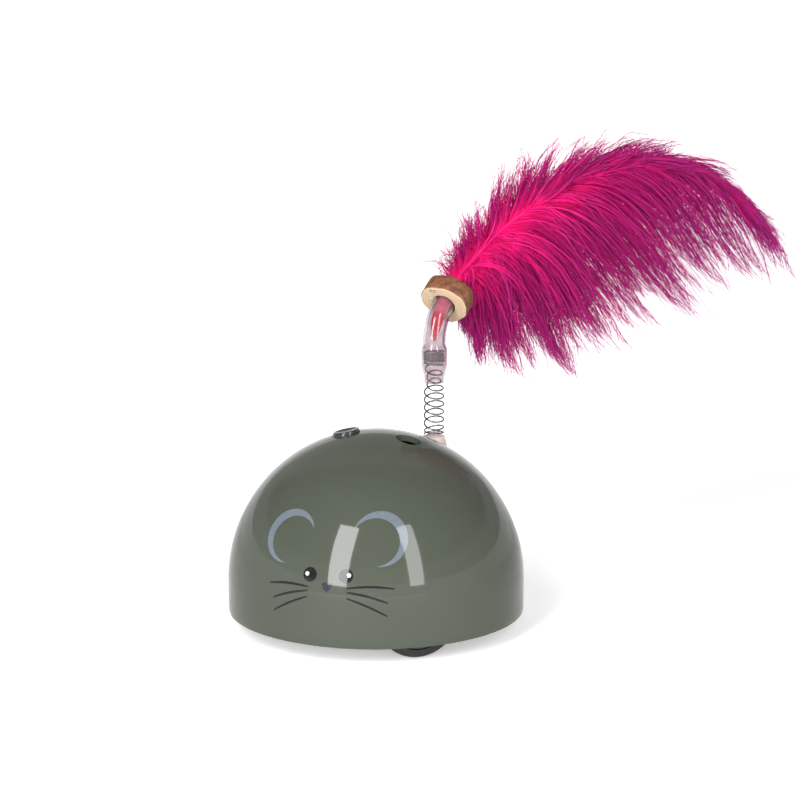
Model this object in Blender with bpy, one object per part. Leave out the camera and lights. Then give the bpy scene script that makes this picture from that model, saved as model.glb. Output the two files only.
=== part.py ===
"""A robotic mouse cat toy: a domed shell on two powered wheels, with a feather on a coil spring.

Metres, +Z up. The mouse faces -Y. The origin is the centre of the base plate's flat underside.
Two identical drives stand on one diameter of the base plate, half a turn apart.
"""

import math

import bmesh
import bpy
import numpy as np
from mathutils import Matrix, Vector

# Overall body
DOME_RADIUS = 0.045
WALL_HEIGHT = 0.00965
SHELL_THICKNESS = 0.0018
RIM_LIFT = 0.0006
RIM_CHAMFER = 0.0004
PLATE_THICKNESS = 0.002
REST_RADIUS = 0.016
GROUND_CLEARANCE = 0.0047

# Clearances and small allowances
FIT_GAP = 0.0003
RUN_GAP = 0.00015
OVERRUN = 0.001
WELD = 0.0004
MERGE = 0.0000001

# Roundness, in steps to a full turn
SHELL_STEPS = 52
DOME_RINGS = 11
INNER_RINGS = 6
BUTTON_SLOPE_RINGS = 65
PLUG_SLOPE_RINGS = 52
PLUG_SLOPE_STEPS = 104
BARREL_STEPS = 24
PIN_STEPS = 12
HOLE_TURN_SHARE = 0.37

# Drive: bearing of the wheels' diameter from +X, in degrees
DRIVE_BEARING = -50.0
TYRE_RADIUS = 0.013
TYRE_WIDTH = 0.004
TYRE_DEPTH = 0.0024
LUG_COUNT = 48
LUG_DEPTH = 0.0003
SLOT_MARGIN = 0.0008
AXLE_RADIUS = 0.001
HUB_RIM_DEPTH = 0.0012
HUB_BOSS_RADIUS = 0.0026
HUB_WEB = 0.0014
HUB_HOLES = 5
HUB_HOLE_RADIUS = 0.0019

# Gears: all of one module
GEAR_MODULE = 0.0005
PRESSURE_ANGLE = 25.0
TIP_SHARE = 0.8
ROOT_SHARE = 1.15
FLANK_SLACK = 0.00005
PINION_TEETH = 9
IDLER_TEETH = 26
IDLER_PINION_TEETH = 10
HUB_TEETH = 24
HUB_GEAR_WIDTH = 0.0018
HUB_GEAR_STANDOFF = 0.001
IDLER_WIDTH = 0.0016
IDLER_STEP = 0.0006
IDLER_BEARING = 20.0
MOTOR_BEARING = -10.0
IDLER_PIN_RADIUS = 0.00075
IDLER_PIN_HEAD = 0.0014
IDLER_PIN_HEAD_WIDTH = 0.0005

# Motor, a small can with two flats
MOTOR_RADIUS = 0.00775
MOTOR_FLAT_HEIGHT = 0.0122
MOTOR_CAP_SHARE = 0.96
MOTOR_BOSS_RADIUS = 0.003
END_CAP_LENGTH = 0.0016
TERMINAL_WIDTH = 0.0016
TERMINAL_THICKNESS = 0.0005
TERMINAL_LENGTH = 0.0012
TERMINAL_SPREAD = 0.0076
SHAFT_RADIUS = 0.00075
SHAFT_SEAT = 0.003

# Gear frame
FRAME_WALL = 0.0014
FRAME_AXLE_ROUND = 0.004
FRAME_IDLER_ROUND = 0.005
FRAME_MOTOR_MARGIN = 0.0004
FOOT_LENGTH = 0.0034
FOOT_WIDTH = 0.0044
FOOT_CLEARANCE = 0.0005
PEG_RADIUS = 0.0011
PEG_ROOF = 0.0012

# Base plate features
EAR_EDGE = 0.0024
EAR_THICKNESS = 0.0014
EAR_WIDTH = 0.0064
EAR_TOP = 0.0036
SADDLE_THICKNESS = 0.0016
SADDLE_INSET = 0.0048
CRADLE_SHARE = 0.8
CRADLE_INSET = 0.0032
BOSS_EDGE = 0.0044
BOSS_GAP = 0.00104
BOSS_RADIUS = 0.003
BOSS_TOP = 0.014
RIB_WIDTH = 0.0016
WELL_RADIUS = 0.0026
WELL_DEPTH = 0.0022
WELL_WALL = 0.0011
WELL_FLOOR = 0.0014
CASE_SCREW_HEAD_RADIUS = 0.0021
CASE_SCREW_HEAD = 0.0013
CASE_SCREW_RADIUS = 0.0011
CASE_SCREW_LENGTH = 0.009

# Glides, on the diameter between the wheels
GLIDE_EDGE = 0.0169
GLIDE_STEM_RADIUS = 0.002
GLIDE_STEM_LENGTH = 0.0042
GLIDE_COLLAR_RADIUS = 0.004
GLIDE_COLLAR = 0.0009
GLIDE_FOOT_RADIUS = 0.0017

# Cell and its strap
CELL_RADIUS = 0.007
CELL_END_GAP = 0.0021
CELL_NIPPLE_RADIUS = 0.0026
CELL_NIPPLE = 0.0012
CELL_EDGE = 0.0005
STRAP_WIDTH = 0.008
STRAP_THICKNESS = 0.0014
STRAP_CLEARANCE = 0.001
STRAP_FLANGE = 0.0044
STRAP_POST_TOP = 0.007
STRAP_POST_RADIUS = 0.0021
SMALL_SCREW_RADIUS = 0.0008
SCREW_CROWN_SHARE = 0.8
SCREW_SIDE_SHARE = 0.6
SMALL_SCREW_HEAD_RADIUS = 0.0016
SMALL_SCREW_HEAD = 0.001
SMALL_SCREW_LENGTH = 0.005

# Circuit board, hung from the shell
BOARD_LENGTH = 0.04
BOARD_DEPTH = 0.027
BOARD_SHIFT = -0.0025
BOARD_THICKNESS = 0.0012
BOARD_DROP = 0.0106
BOARD_CORNER = 0.003
BOARD_POST_RADIUS = 0.0022
BOARD_POST_EDGE = 0.0045
BOARD_POST_INSET = 0.004

# Power button and its switch
TOP_HOLE_FORWARD = 0.0019
BUTTON_SIDE = 0.0089
SOCKET_SIDE = 0.0111
BUTTON_RADIUS = 0.004
BUTTON_PROUD = 0.001
BUTTON_DISH_DEPTH = 0.0007
BUTTON_DISH_RADIUS = 0.008
BUTTON_FLANGE_RADIUS = 0.0052
BUTTON_FLANGE = 0.001
BUTTON_FLANGE_DROP = 0.0009
BUTTON_STEM_RADIUS = 0.0018
BUTTON_TRAVEL = 0.0008
PLUNGER_RADIUS = 0.0016
PLUNGER_HEIGHT = 0.0018
SWITCH_SIZE = 0.006
SWITCH_HEIGHT = 0.0027
SWITCH_FLOOR = 0.0007

# Charging socket
SOCKET_HOLE_RADIUS = 0.0038
SOCKET_RADIUS = 0.0045
SOCKET_BORE = 0.0033
SOCKET_FLOOR = 0.0018
SOCKET_DROP = 0.0004
SOCKET_PIN_RADIUS = 0.001
SOCKET_PIN_HEIGHT = 0.0039

# Feather plug
PLUG_REACH = 0.02403
PLUG_BEARING = 62.4
PLUG_STEM_RADIUS = 0.0025
PLUG_STEM_LENGTH = 0.0105
PLUG_CAP_RADIUS = 0.0042
PLUG_SEAT_RADIUS = 0.0034
PLUG_SEAT_RISE = 0.00225
PLUG_SEAT_EDGE = 0.0005
PLUG_SHOULDER_SHARE = 0.65
PLUG_SHOULDER_DROP = 0.0015
PLUG_SPIGOT_RADIUS = 0.0022
PLUG_SPIGOT_HEIGHT = 0.0012
SLEEVE_WALL = 0.0014
SLEEVE_LENGTH = 0.0078

# Coil spring
WIRE_RADIUS = 0.00024
COIL_RADIUS = 0.00296
NECK_COIL_RADIUS = 0.0021
WIRE_START = 200.0
FREE_PITCH = 0.00243
CLOSE_PITCH = 0.00096
END_TURNS = 1.0
DEAD_TURNS = 4.0
FREE_TURNS = 6.24
INNER_TURNS = 2.5
POINTS_PER_TURN = 8
LEAST_COIL_GAP = 0.0004

# Clear tube over the spring's top
TUBE_MOUTH_RADIUS = 0.00305
TUBE_BAND_RADIUS = 0.004
TUBE_RADIUS = 0.0035
TUBE_WALL = 0.00045
TUBE_UPPER_WALL = 0.0008
TUBE_LIP = 0.0008
TUBE_NARROWING = 0.0022
TUBE_BEND_RADIUS = 0.0135
TUBE_BEND_ANGLE = 55.0
TUBE_BEND_BEARING = 80.0
TUBE_END = 0.0007
TUBE_STEPS = 14
BEND_STEPS = 7

# Slice of a branch
SLICE_RADIUS = 0.0074
SLICE_THICKNESS = 0.0062
SLICE_EDGE = 0.0006
SLICE_STEPS = 26
# How far the bark is out of round, each row: share of the radius, lobes round it, lobe's angle
BARK_SHARES = ((0.045, 2, 34.0), (0.03, 3, 115.0), (0.018, 7, 57.0))

# Quill of the feather
QUILL_RADIUS = 0.0013
QUILL_TIP_RADIUS = 0.00025
QUILL_DEPTH = 0.0135
QUILL_POINT = 0.0075
QUILL_BINDING = 0.0012

# Loop of clear thread under the slice
LOOP_WIRE_RADIUS = 0.0002
LOOP_RADIUS = 0.0008
LOOP_DROP = 0.0022
LOOP_REACH = 0.0064
LOOP_SHIFT = 0.0018

# Plume: its shaft leaves the slice along the tube and swings round to its own bearing
PLUME_REACH = 0.1104
PLUME_HEIGHT = 0.052
PLUME_THICKNESS = 0.009
PLUME_EDGE = 0.0012
PLUME_STATIONS = 41
NOTCH_SHARE = 0.86

# Along the plume, each row: share of its reach, then the shaft's sideways place as a share of the
# reach, and the shaft, the top edge and the bottom edge as shares of the plume's height
PLUME_SHARES = (
    (0.000, 0.000, 0.02, 0.05, -0.02),
    (0.020, 0.030, 0.07, 0.14, -0.08),
    (0.054, 0.062, 0.16, 0.30, -0.53),
    (0.126, 0.110, 0.31, 0.54, -0.59),
    (0.213, 0.152, 0.45, 0.73, -0.67),
    (0.315, 0.191, 0.57, 0.87, -0.67),
    (0.432, 0.220, 0.66, 0.94, -0.48),
    (0.549, 0.239, 0.72, 0.94, -0.34),
    (0.666, 0.253, 0.70, 0.92, -0.33),
    (0.770, 0.259, 0.60, 0.76, -0.23),
    (0.874, 0.263, 0.44, 0.55, -0.11),
    (0.959, 0.266, 0.21, 0.29, -0.05),
    (1.000, 0.266, 0.05, 0.07, 0.02),
)
# Down one side of a slice of the plume: share of the reach above or below the shaft, then share of
# the half thickness
ABOVE_SHARES = ((1.0, 0.0), (0.5, 0.9))
SHAFT_SHARE = 0.45
BELOW_SHARES = ((0.3, 0.85), (0.75, 0.9), (1.0, 0.0))
THIN_END_SHARE = 0.35
PLUME_BEARING = 20.0

# Leads inside the case: route points by hand, in metres
LEAD_RADIUS = 0.0007
LEAD_STEP = 0.0035
FRONT_LEAD = (
    (0.01571, 0.00710, 0.0097),
    (0.01428, 0.00781, 0.0100),
    (0.01364, 0.00963, 0.0129),
    (0.01543, 0.01197, 0.0194),
    (0.01768, 0.01174, 0.0282),
    (0.01720, 0.00850, 0.0352),
    (0.01700, 0.00700, 0.0390),
    (0.01700, 0.00700, 0.0413),
)
REAR_LEAD = (
    (-0.01571, -0.00710, 0.0097),
    (-0.01428, -0.00781, 0.0100),
    (-0.01364, -0.00963, 0.0129),
    (-0.01591, -0.01145, 0.0194),
    (-0.01863, -0.00872, 0.0282),
    (-0.01800, -0.00500, 0.0352),
    (-0.01800, -0.00400, 0.0390),
    (-0.01800, -0.00400, 0.0413),
)
CELL_LEAD = (
    (0.01513, -0.01803, 0.0093),
    (0.01595, -0.01887, 0.0096),
    (0.01695, -0.01890, 0.0130),
    (0.01647, -0.01800, 0.0220),
    (0.01196, -0.01553, 0.0330),
    (0.00900, -0.01400, 0.0380),
    (0.00900, -0.01400, 0.0413),
)

# Places that follow from the sizes above
DOME_CENTRE = RIM_LIFT + WALL_HEIGHT
INNER_RADIUS = DOME_RADIUS - SHELL_THICKNESS
MID_WALL_RADIUS = DOME_RADIUS - SHELL_THICKNESS / 2
PLATE_RADIUS = INNER_RADIUS - FIT_GAP
WHEEL_AXIS = TYRE_RADIUS - GROUND_CLEARANCE
EAR_OUTER = PLATE_RADIUS - EAR_EDGE
EAR_INNER = EAR_OUTER - EAR_THICKNESS
TYRE_OUTER_FACE = EAR_INNER - FIT_GAP - SLOT_MARGIN
TYRE_INNER_FACE = TYRE_OUTER_FACE - TYRE_WIDTH
WHEEL_MIDDLE = TYRE_OUTER_FACE - TYRE_WIDTH / 2
TYRE_BORE = TYRE_RADIUS - TYRE_DEPTH
HUB_RADIUS = TYRE_BORE - FIT_GAP
HUB_GEAR_OUTER = TYRE_INNER_FACE - HUB_GEAR_STANDOFF
HUB_GEAR_INNER = HUB_GEAR_OUTER - HUB_GEAR_WIDTH
IDLER_OUTER = HUB_GEAR_INNER - IDLER_STEP
IDLER_INNER = IDLER_OUTER - IDLER_WIDTH
FRAME_OUTER = IDLER_INNER - IDLER_STEP
FRAME_INNER = FRAME_OUTER - FRAME_WALL
MOTOR_FRONT = FRAME_INNER - FIT_GAP
MOTOR_BACK = STRAP_WIDTH / 2 + STRAP_CLEARANCE + END_CAP_LENGTH + FIT_GAP
PLATE_SEAT = PLATE_THICKNESS + FIT_GAP
FOOT_HEIGHT = WHEEL_AXIS - AXLE_RADIUS - FOOT_CLEARANCE - PLATE_SEAT
PEG_HEIGHT = FOOT_HEIGHT - PEG_ROOF
CELL_LENGTH = 2 * (FRAME_INNER - FOOT_LENGTH - CELL_END_GAP)
BOSS_CIRCLE = PLATE_RADIUS - BOSS_EDGE
GLIDE_CIRCLE = PLATE_RADIUS - GLIDE_EDGE
WELL_TOP = WELL_DEPTH + WELL_FLOOR
CELL_AXIS = PLATE_SEAT + CELL_RADIUS + RUN_GAP
BOARD_TOP = DOME_CENTRE + INNER_RADIUS - BOARD_DROP
BOARD_UNDER = BOARD_TOP - BOARD_THICKNESS
BOARD_POST_X = BOARD_LENGTH / 2 - BOARD_POST_EDGE
IDLER_DISTANCE = GEAR_MODULE * (HUB_TEETH + IDLER_PINION_TEETH) / 2
MOTOR_DISTANCE = GEAR_MODULE * (IDLER_TEETH + PINION_TEETH) / 2
BUTTON_PLACE = (-BUTTON_SIDE, -TOP_HOLE_FORWARD)
BUTTON_REACH = math.hypot(*BUTTON_PLACE)
SOCKET_PLACE = (SOCKET_SIDE, -TOP_HOLE_FORWARD)
SOCKET_REACH = math.hypot(*SOCKET_PLACE)
PLUG_X = PLUG_REACH * math.cos(math.radians(PLUG_BEARING))
PLUG_Y = PLUG_REACH * math.sin(math.radians(PLUG_BEARING))


def dome_height(radius, distance):
    """Height of a sphere about the dome's centre, at a distance from the dome's axis."""
    return DOME_CENTRE + math.sqrt(radius * radius - distance * distance)


PLUG_SEAT = dome_height(DOME_RADIUS, PLUG_REACH) + PLUG_SEAT_RISE
SPRING_START = PLUG_SEAT + FIT_GAP + WIRE_RADIUS
FREE_START = SPRING_START + END_TURNS * CLOSE_PITCH
MOUTH_HEIGHT = FREE_START + FREE_TURNS * FREE_PITCH
DEAD_START = MOUTH_HEIGHT + INNER_TURNS * FREE_PITCH
SPRING_TOP = DEAD_START + DEAD_TURNS * CLOSE_PITCH
BEND_START = SPRING_TOP + TUBE_NARROWING


def polar(radius, degrees):
    """A point on a circle about the origin."""
    angle = math.radians(degrees)
    return radius * math.cos(angle), radius * math.sin(angle)


def idler_place():
    """The idler's axis, across and up from the centre of the drive."""
    across, up = polar(IDLER_DISTANCE, IDLER_BEARING)
    return across, WHEEL_AXIS + up


def motor_place():
    """The motor's axis, across and up from the centre of the drive."""
    idler_across, idler_up = idler_place()
    across, up = polar(MOTOR_DISTANCE, MOTOR_BEARING)
    return idler_across + across, idler_up + up


def clear_scene():
    """Remove whatever the file holds."""
    for old in list(bpy.data.objects):
        bpy.data.objects.remove(old)


def make_material(name, colour, roughness, metallic=0.0):
    """A plain surface."""
    surface = bpy.data.materials.new(name)
    surface.use_nodes = True
    shader = surface.node_tree.nodes["Principled BSDF"]
    shader.inputs["Base Color"].default_value = (*colour, 1.0)
    shader.inputs["Roughness"].default_value = roughness
    shader.inputs["Metallic"].default_value = metallic
    return surface


def make_empty(name, place=(0.0, 0.0, 0.0), turn=(0.0, 0.0, 0.0), parent=None):
    """A frame for other objects to hang on."""
    empty = bpy.data.objects.new(name, None)
    bpy.context.scene.collection.objects.link(empty)
    empty.location = place
    empty.rotation_euler = [math.radians(angle) for angle in turn]
    empty.parent = parent
    return empty


def finish_object(name, shape, material, parent=None, place=(0.0, 0.0, 0.0), smooth=35.0):
    """Turn a bmesh into a named object."""
    bmesh.ops.recalc_face_normals(shape, faces=shape.faces)
    if shape.calc_volume(signed=True) < 0.0:
        bmesh.ops.reverse_faces(shape, faces=shape.faces)
    mesh = bpy.data.meshes.new(name)
    shape.to_mesh(mesh)
    shape.free()
    mesh.shade_smooth()
    mesh.set_sharp_from_angle(angle=math.radians(smooth))
    piece = bpy.data.objects.new(name, mesh)
    bpy.context.scene.collection.objects.link(piece)
    piece.parent = parent
    piece.location = place
    if material is not None:
        mesh.materials.append(material)
    return piece


def turned_shape(outline, steps):
    """Spin an outline of (radius, height) points about Z into a closed solid."""
    shape = bmesh.new()
    corners = [shape.verts.new((radius, 0.0, height)) for radius, height in outline]
    edges = [shape.edges.new(pair) for pair in zip(corners, corners[1:])]
    closes_on_itself = outline[0][0] > MERGE or outline[-1][0] > MERGE
    if closes_on_itself:
        edges.append(shape.edges.new((corners[-1], corners[0])))
    bmesh.ops.spin(
        shape,
        geom=corners + edges,
        cent=(0.0, 0.0, 0.0),
        axis=(0.0, 0.0, 1.0),
        angle=math.tau,
        steps=steps,
        use_merge=True,
    )
    bmesh.ops.remove_doubles(shape, verts=shape.verts, dist=MERGE)
    bmesh.ops.dissolve_degenerate(shape, edges=shape.edges, dist=MERGE)
    return shape


def ring_points(radius, steps, centre=(0.0, 0.0), start=0.0):
    """Points on a circle, counted from an angle in degrees."""
    points = []
    for step in range(steps):
        x, y = polar(radius, start + 360.0 * step / steps)
        points.append((centre[0] + x, centre[1] + y))
    return points


def hole_points(radius, steps, centre=(0.0, 0.0)):
    """A circle for a hole, turned a little so that its corners miss those of the piece it cuts."""
    return ring_points(radius, steps, centre, HOLE_TURN_SHARE * 360.0 / steps)


def flat_shape(outline, holes, low, high, pad=()):
    """Extrude a flat outline with holes in it between two heights. A pad is a ring filled as one whole face."""
    shape = bmesh.new()
    edges = []
    for loop in [outline, *holes, pad]:
        corners = [shape.verts.new((x, y, low)) for x, y in loop]
        edges += [shape.edges.new(pair) for pair in zip(corners, corners[1:] + corners[:1])]
    bmesh.ops.triangle_fill(shape, edges=edges, use_beauty=True)
    if pad:
        shape.faces.new(corners)
    raised = bmesh.ops.extrude_face_region(shape, geom=shape.faces[:])
    moved = [item for item in raised["geom"] if isinstance(item, bmesh.types.BMVert)]
    bmesh.ops.translate(shape, verts=moved, vec=(0.0, 0.0, high - low))
    return shape


def block_shape(low, high):
    """A box between two opposite corners."""
    outline = [(low[0], low[1]), (high[0], low[1]), (high[0], high[1]), (low[0], high[1])]
    return flat_shape(outline, [], low[2], high[2])


def rounded_box(half_length, half_width, corner, steps=4):
    """Outline of a rectangle with round corners."""
    points = []
    for quarter, (side_x, side_y) in enumerate([(1, 1), (-1, 1), (-1, -1), (1, -1)]):
        centre_x = side_x * (half_length - corner)
        centre_y = side_y * (half_width - corner)
        for step in range(steps + 1):
            x, y = polar(corner, 90.0 * (quarter + step / steps))
            points.append((centre_x + x, centre_y + y))
    return points


def change(target, name, shape, operation, parent=None, place=(0.0, 0.0, 0.0)):
    """Cut or join a hidden shape with a Boolean modifier."""
    cutter = finish_object(name, shape, None, parent, place)
    cutter.hide_render = True
    cutter.display_type = "WIRE"
    modifier = target.modifiers.new(name, "BOOLEAN")
    modifier.operation = operation
    modifier.solver = "EXACT"
    modifier.object = cutter
    return cutter


def round_rod(radius, low, high, steps=PIN_STEPS):
    """A plain round bar along Z."""
    return flat_shape(ring_points(radius, steps), [], low, high)


def round_hole(radius, low, high, steps=PIN_STEPS):
    """A bar to cut a round hole along Z."""
    return flat_shape(hole_points(radius, steps), [], low, high)


def gear_outline(teeth, phase):
    """Outline of a spur gear with involute flanks; a tooth is centred on the phase, in degrees."""
    pitch_radius = GEAR_MODULE * teeth / 2
    pressure = math.radians(PRESSURE_ANGLE)
    base_radius = pitch_radius * math.cos(pressure)
    tip_radius = pitch_radius + TIP_SHARE * GEAR_MODULE
    root_radius = pitch_radius - ROOT_SHARE * GEAR_MODULE
    flank_foot = max(base_radius, root_radius)
    half_tooth = math.pi / (2 * teeth) - FLANK_SLACK / pitch_radius
    half_tooth += math.tan(pressure) - pressure

    def half_angle(radius):
        roll = math.acos(min(1.0, base_radius / radius))
        return half_tooth - (math.tan(roll) - roll)

    radii = [flank_foot, tip_radius]
    if teeth < HUB_TEETH:
        radii.insert(1, (flank_foot + tip_radius) / 2)
    flank = [(radius, half_angle(radius)) for radius in radii]
    if root_radius < flank_foot - FLANK_SLACK:
        flank.insert(0, (root_radius, half_angle(flank_foot)))
    points = []
    for tooth in range(teeth):
        middle = math.radians(phase) + math.tau * tooth / teeth
        for radius, angle in flank:
            points.append((radius * math.cos(middle - angle), radius * math.sin(middle - angle)))
        for radius, angle in reversed(flank):
            points.append((radius * math.cos(middle + angle), radius * math.sin(middle + angle)))
    return points


def hull_outline(points):
    """The outline of a set of flat points, as a stretched band would lie round them."""
    ordered = sorted(set(points))

    def half_hull(run):
        hull = []
        for point in run:
            while len(hull) > 1:
                (ax, ay), (bx, by) = hull[-2], hull[-1]
                if (bx - ax) * (point[1] - ay) - (by - ay) * (point[0] - ax) > 0:
                    break
                hull.pop()
            hull.append(point)
        return hull[:-1]

    return half_hull(ordered) + half_hull(ordered[::-1])


def tube_along(name, points, radius, material, sides=2):
    """A round bar along a list of points, with closed ends."""
    curve = bpy.data.curves.new(name, "CURVE")
    curve.dimensions = "3D"
    curve.bevel_depth = radius
    curve.bevel_resolution = sides
    curve.use_fill_caps = True
    curve.materials.append(material)
    spline = curve.splines.new("POLY")
    spline.points.add(len(points) - 1)
    for target, point in zip(spline.points, points):
        target.co = (*point, 1.0)
    piece = bpy.data.objects.new(name, curve)
    bpy.context.scene.collection.objects.link(piece)
    return piece


def smooth_route(knots, count):
    """Points at even steps on one smooth curve through the knots."""
    knots = np.array(knots)
    ends = np.vstack([2 * knots[0] - knots[1], knots, 2 * knots[-1] - knots[-2]])
    points = []
    for step in range(count):
        place = step * (len(knots) - 1) / (count - 1)
        span = min(int(place), len(knots) - 2)
        share = place - span
        before, first, second, after = ends[span : span + 4]
        points.append(
            0.5
            * (
                2 * first
                + (second - before) * share
                + (2 * before - 5 * first + 4 * second - after) * share**2
                + (3 * first - before - 3 * second + after) * share**3
            )
        )
    return points


def arc_profile(radius, start, stop, count):
    """Points of (distance, height) on a sphere about the dome's centre, between two angles."""
    points = []
    for step in range(count + 1):
        angle = math.radians(start + (stop - start) * step / count)
        points.append((radius * math.cos(angle), DOME_CENTRE + radius * math.sin(angle)))
    return points


def keyhole_outline(centre_distance, bearing):
    """Outline of a screw boss and the rib that ties it to the shell's wall."""
    half_rib = RIB_WIDTH / 2
    half_gap = math.degrees(math.asin(half_rib / BOSS_RADIUS))
    points = []
    for step in range(PIN_STEPS + 1):
        x, y = polar(BOSS_RADIUS, half_gap + (360.0 - 2 * half_gap) * step / PIN_STEPS)
        points.append((centre_distance + x, y))
    points.append((MID_WALL_RADIUS, -half_rib))
    points.append((MID_WALL_RADIUS, half_rib))
    cos, sin = polar(1.0, bearing)
    return [(x * cos - y * sin, x * sin + y * cos) for x, y in points]


def post_to_shell(centre, radius, bottom):
    """A round post that ends inside the dome's wall."""
    shape = flat_shape(ring_points(radius, PIN_STEPS, centre), [], bottom, DOME_CENTRE + DOME_RADIUS)
    for corner in shape.verts:
        if corner.co.z > bottom + OVERRUN:
            corner.co.z = dome_height(MID_WALL_RADIUS, math.hypot(corner.co.x, corner.co.y))
    return shape


def boss_bearings():
    """Bearings of the four case screws, whose wells stand just clear of the gear frames."""
    motor_across, _ = motor_place()
    across = motor_across + MOTOR_RADIUS + FRAME_MOTOR_MARGIN + BOSS_GAP + WELL_RADIUS + WELL_WALL
    angle = math.degrees(math.asin(across / BOSS_CIRCLE))
    turns = (angle, 180.0 - angle, 180.0 + angle, -angle)
    return [DRIVE_BEARING + turn for turn in turns]


def glide_places():
    """Places of the two glides, half way round between the wheels."""
    return [polar(GLIDE_CIRCLE, DRIVE_BEARING + turn) for turn in (90.0, -90.0)]


def board_posts():
    """Places of the board's three posts."""
    front = BOARD_SHIFT - BOARD_DEPTH / 2 + BOARD_POST_INSET
    back = BOARD_SHIFT + BOARD_DEPTH / 2 - BOARD_POST_INSET
    return [(-BOARD_POST_X, front), (BOARD_POST_X, front), (0.0, back)]


def drive_point(along, across, side):
    """A place in the drive's frame, as seen from above; side is 1 at the front and -1 at the rear."""
    cos, sin = polar(float(side), DRIVE_BEARING)
    return along * cos - across * sin, along * sin + across * cos


def make_shell(material):
    """The domed shell, with its bosses, posts and three top holes."""
    outer = arc_profile(DOME_RADIUS, 0.0, 90.0, DOME_RINGS)
    inner = arc_profile(INNER_RADIUS, 90.0, 0.0, INNER_RINGS)
    rim = [
        (INNER_RADIUS, RIM_LIFT),
        (DOME_RADIUS - RIM_CHAMFER, RIM_LIFT),
        (DOME_RADIUS, RIM_LIFT + RIM_CHAMFER),
    ]
    outer[-1] = (0.0, outer[-1][1])
    inner[0] = (0.0, inner[0][1])
    profile = turned_shape(outer[::-1] + rim[::-1] + inner[::-1], SHELL_STEPS)
    shell = finish_object("dome_shell", profile, material)
    boss_low = WELL_TOP + FIT_GAP
    for index, bearing in enumerate(boss_bearings()):
        outline = keyhole_outline(BOSS_CIRCLE, bearing)
        change(shell, f"shell_boss_{index}", flat_shape(outline, [], boss_low, BOSS_TOP), "UNION")
    for index, place in enumerate(board_posts()):
        post = post_to_shell(place, BOARD_POST_RADIUS, BOARD_TOP + FIT_GAP)
        change(shell, f"board_post_{index}", post, "UNION")
    plug = (PLUG_X, PLUG_Y)
    hole_radius = PLUG_STEM_RADIUS + FIT_GAP
    sleeve_low = dome_height(INNER_RADIUS, PLUG_REACH) - SLEEVE_LENGTH
    sleeve = post_to_shell(plug, hole_radius + SLEEVE_WALL, sleeve_low)
    change(shell, "plug_sleeve", sleeve, "UNION")
    top = DOME_CENTRE + DOME_RADIUS + OVERRUN
    hole = flat_shape(hole_points(hole_radius, BARREL_STEPS, plug), [], sleeve_low - OVERRUN, top)
    change(shell, "plug_hole", hole, "DIFFERENCE")
    holes = ((BUTTON_PLACE, BUTTON_RADIUS + FIT_GAP), (SOCKET_PLACE, SOCKET_HOLE_RADIUS))
    for index, (place, radius) in enumerate(holes):
        ring = hole_points(radius, BARREL_STEPS, place)
        low = dome_height(INNER_RADIUS, math.hypot(*place) + radius) - OVERRUN
        change(shell, f"top_hole_{index}", flat_shape(ring, [], low, top), "DIFFERENCE")
    for index, bearing in enumerate(boss_bearings()):
        ring = hole_points(CASE_SCREW_RADIUS + RUN_GAP, PIN_STEPS, polar(BOSS_CIRCLE, bearing))
        depth = CASE_SCREW_LENGTH + OVERRUN
        hole = flat_shape(ring, [], boss_low - OVERRUN, WELL_DEPTH - FIT_GAP + depth)
        change(shell, f"boss_hole_{index}", hole, "DIFFERENCE")
    for index, place in enumerate(board_posts()):
        ring = hole_points(SMALL_SCREW_RADIUS + RUN_GAP, PIN_STEPS, place)
        high = BOARD_UNDER - FIT_GAP + SMALL_SCREW_LENGTH + FIT_GAP
        change(shell, f"post_hole_{index}", flat_shape(ring, [], BOARD_TOP, high), "DIFFERENCE")
    return shell


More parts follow.
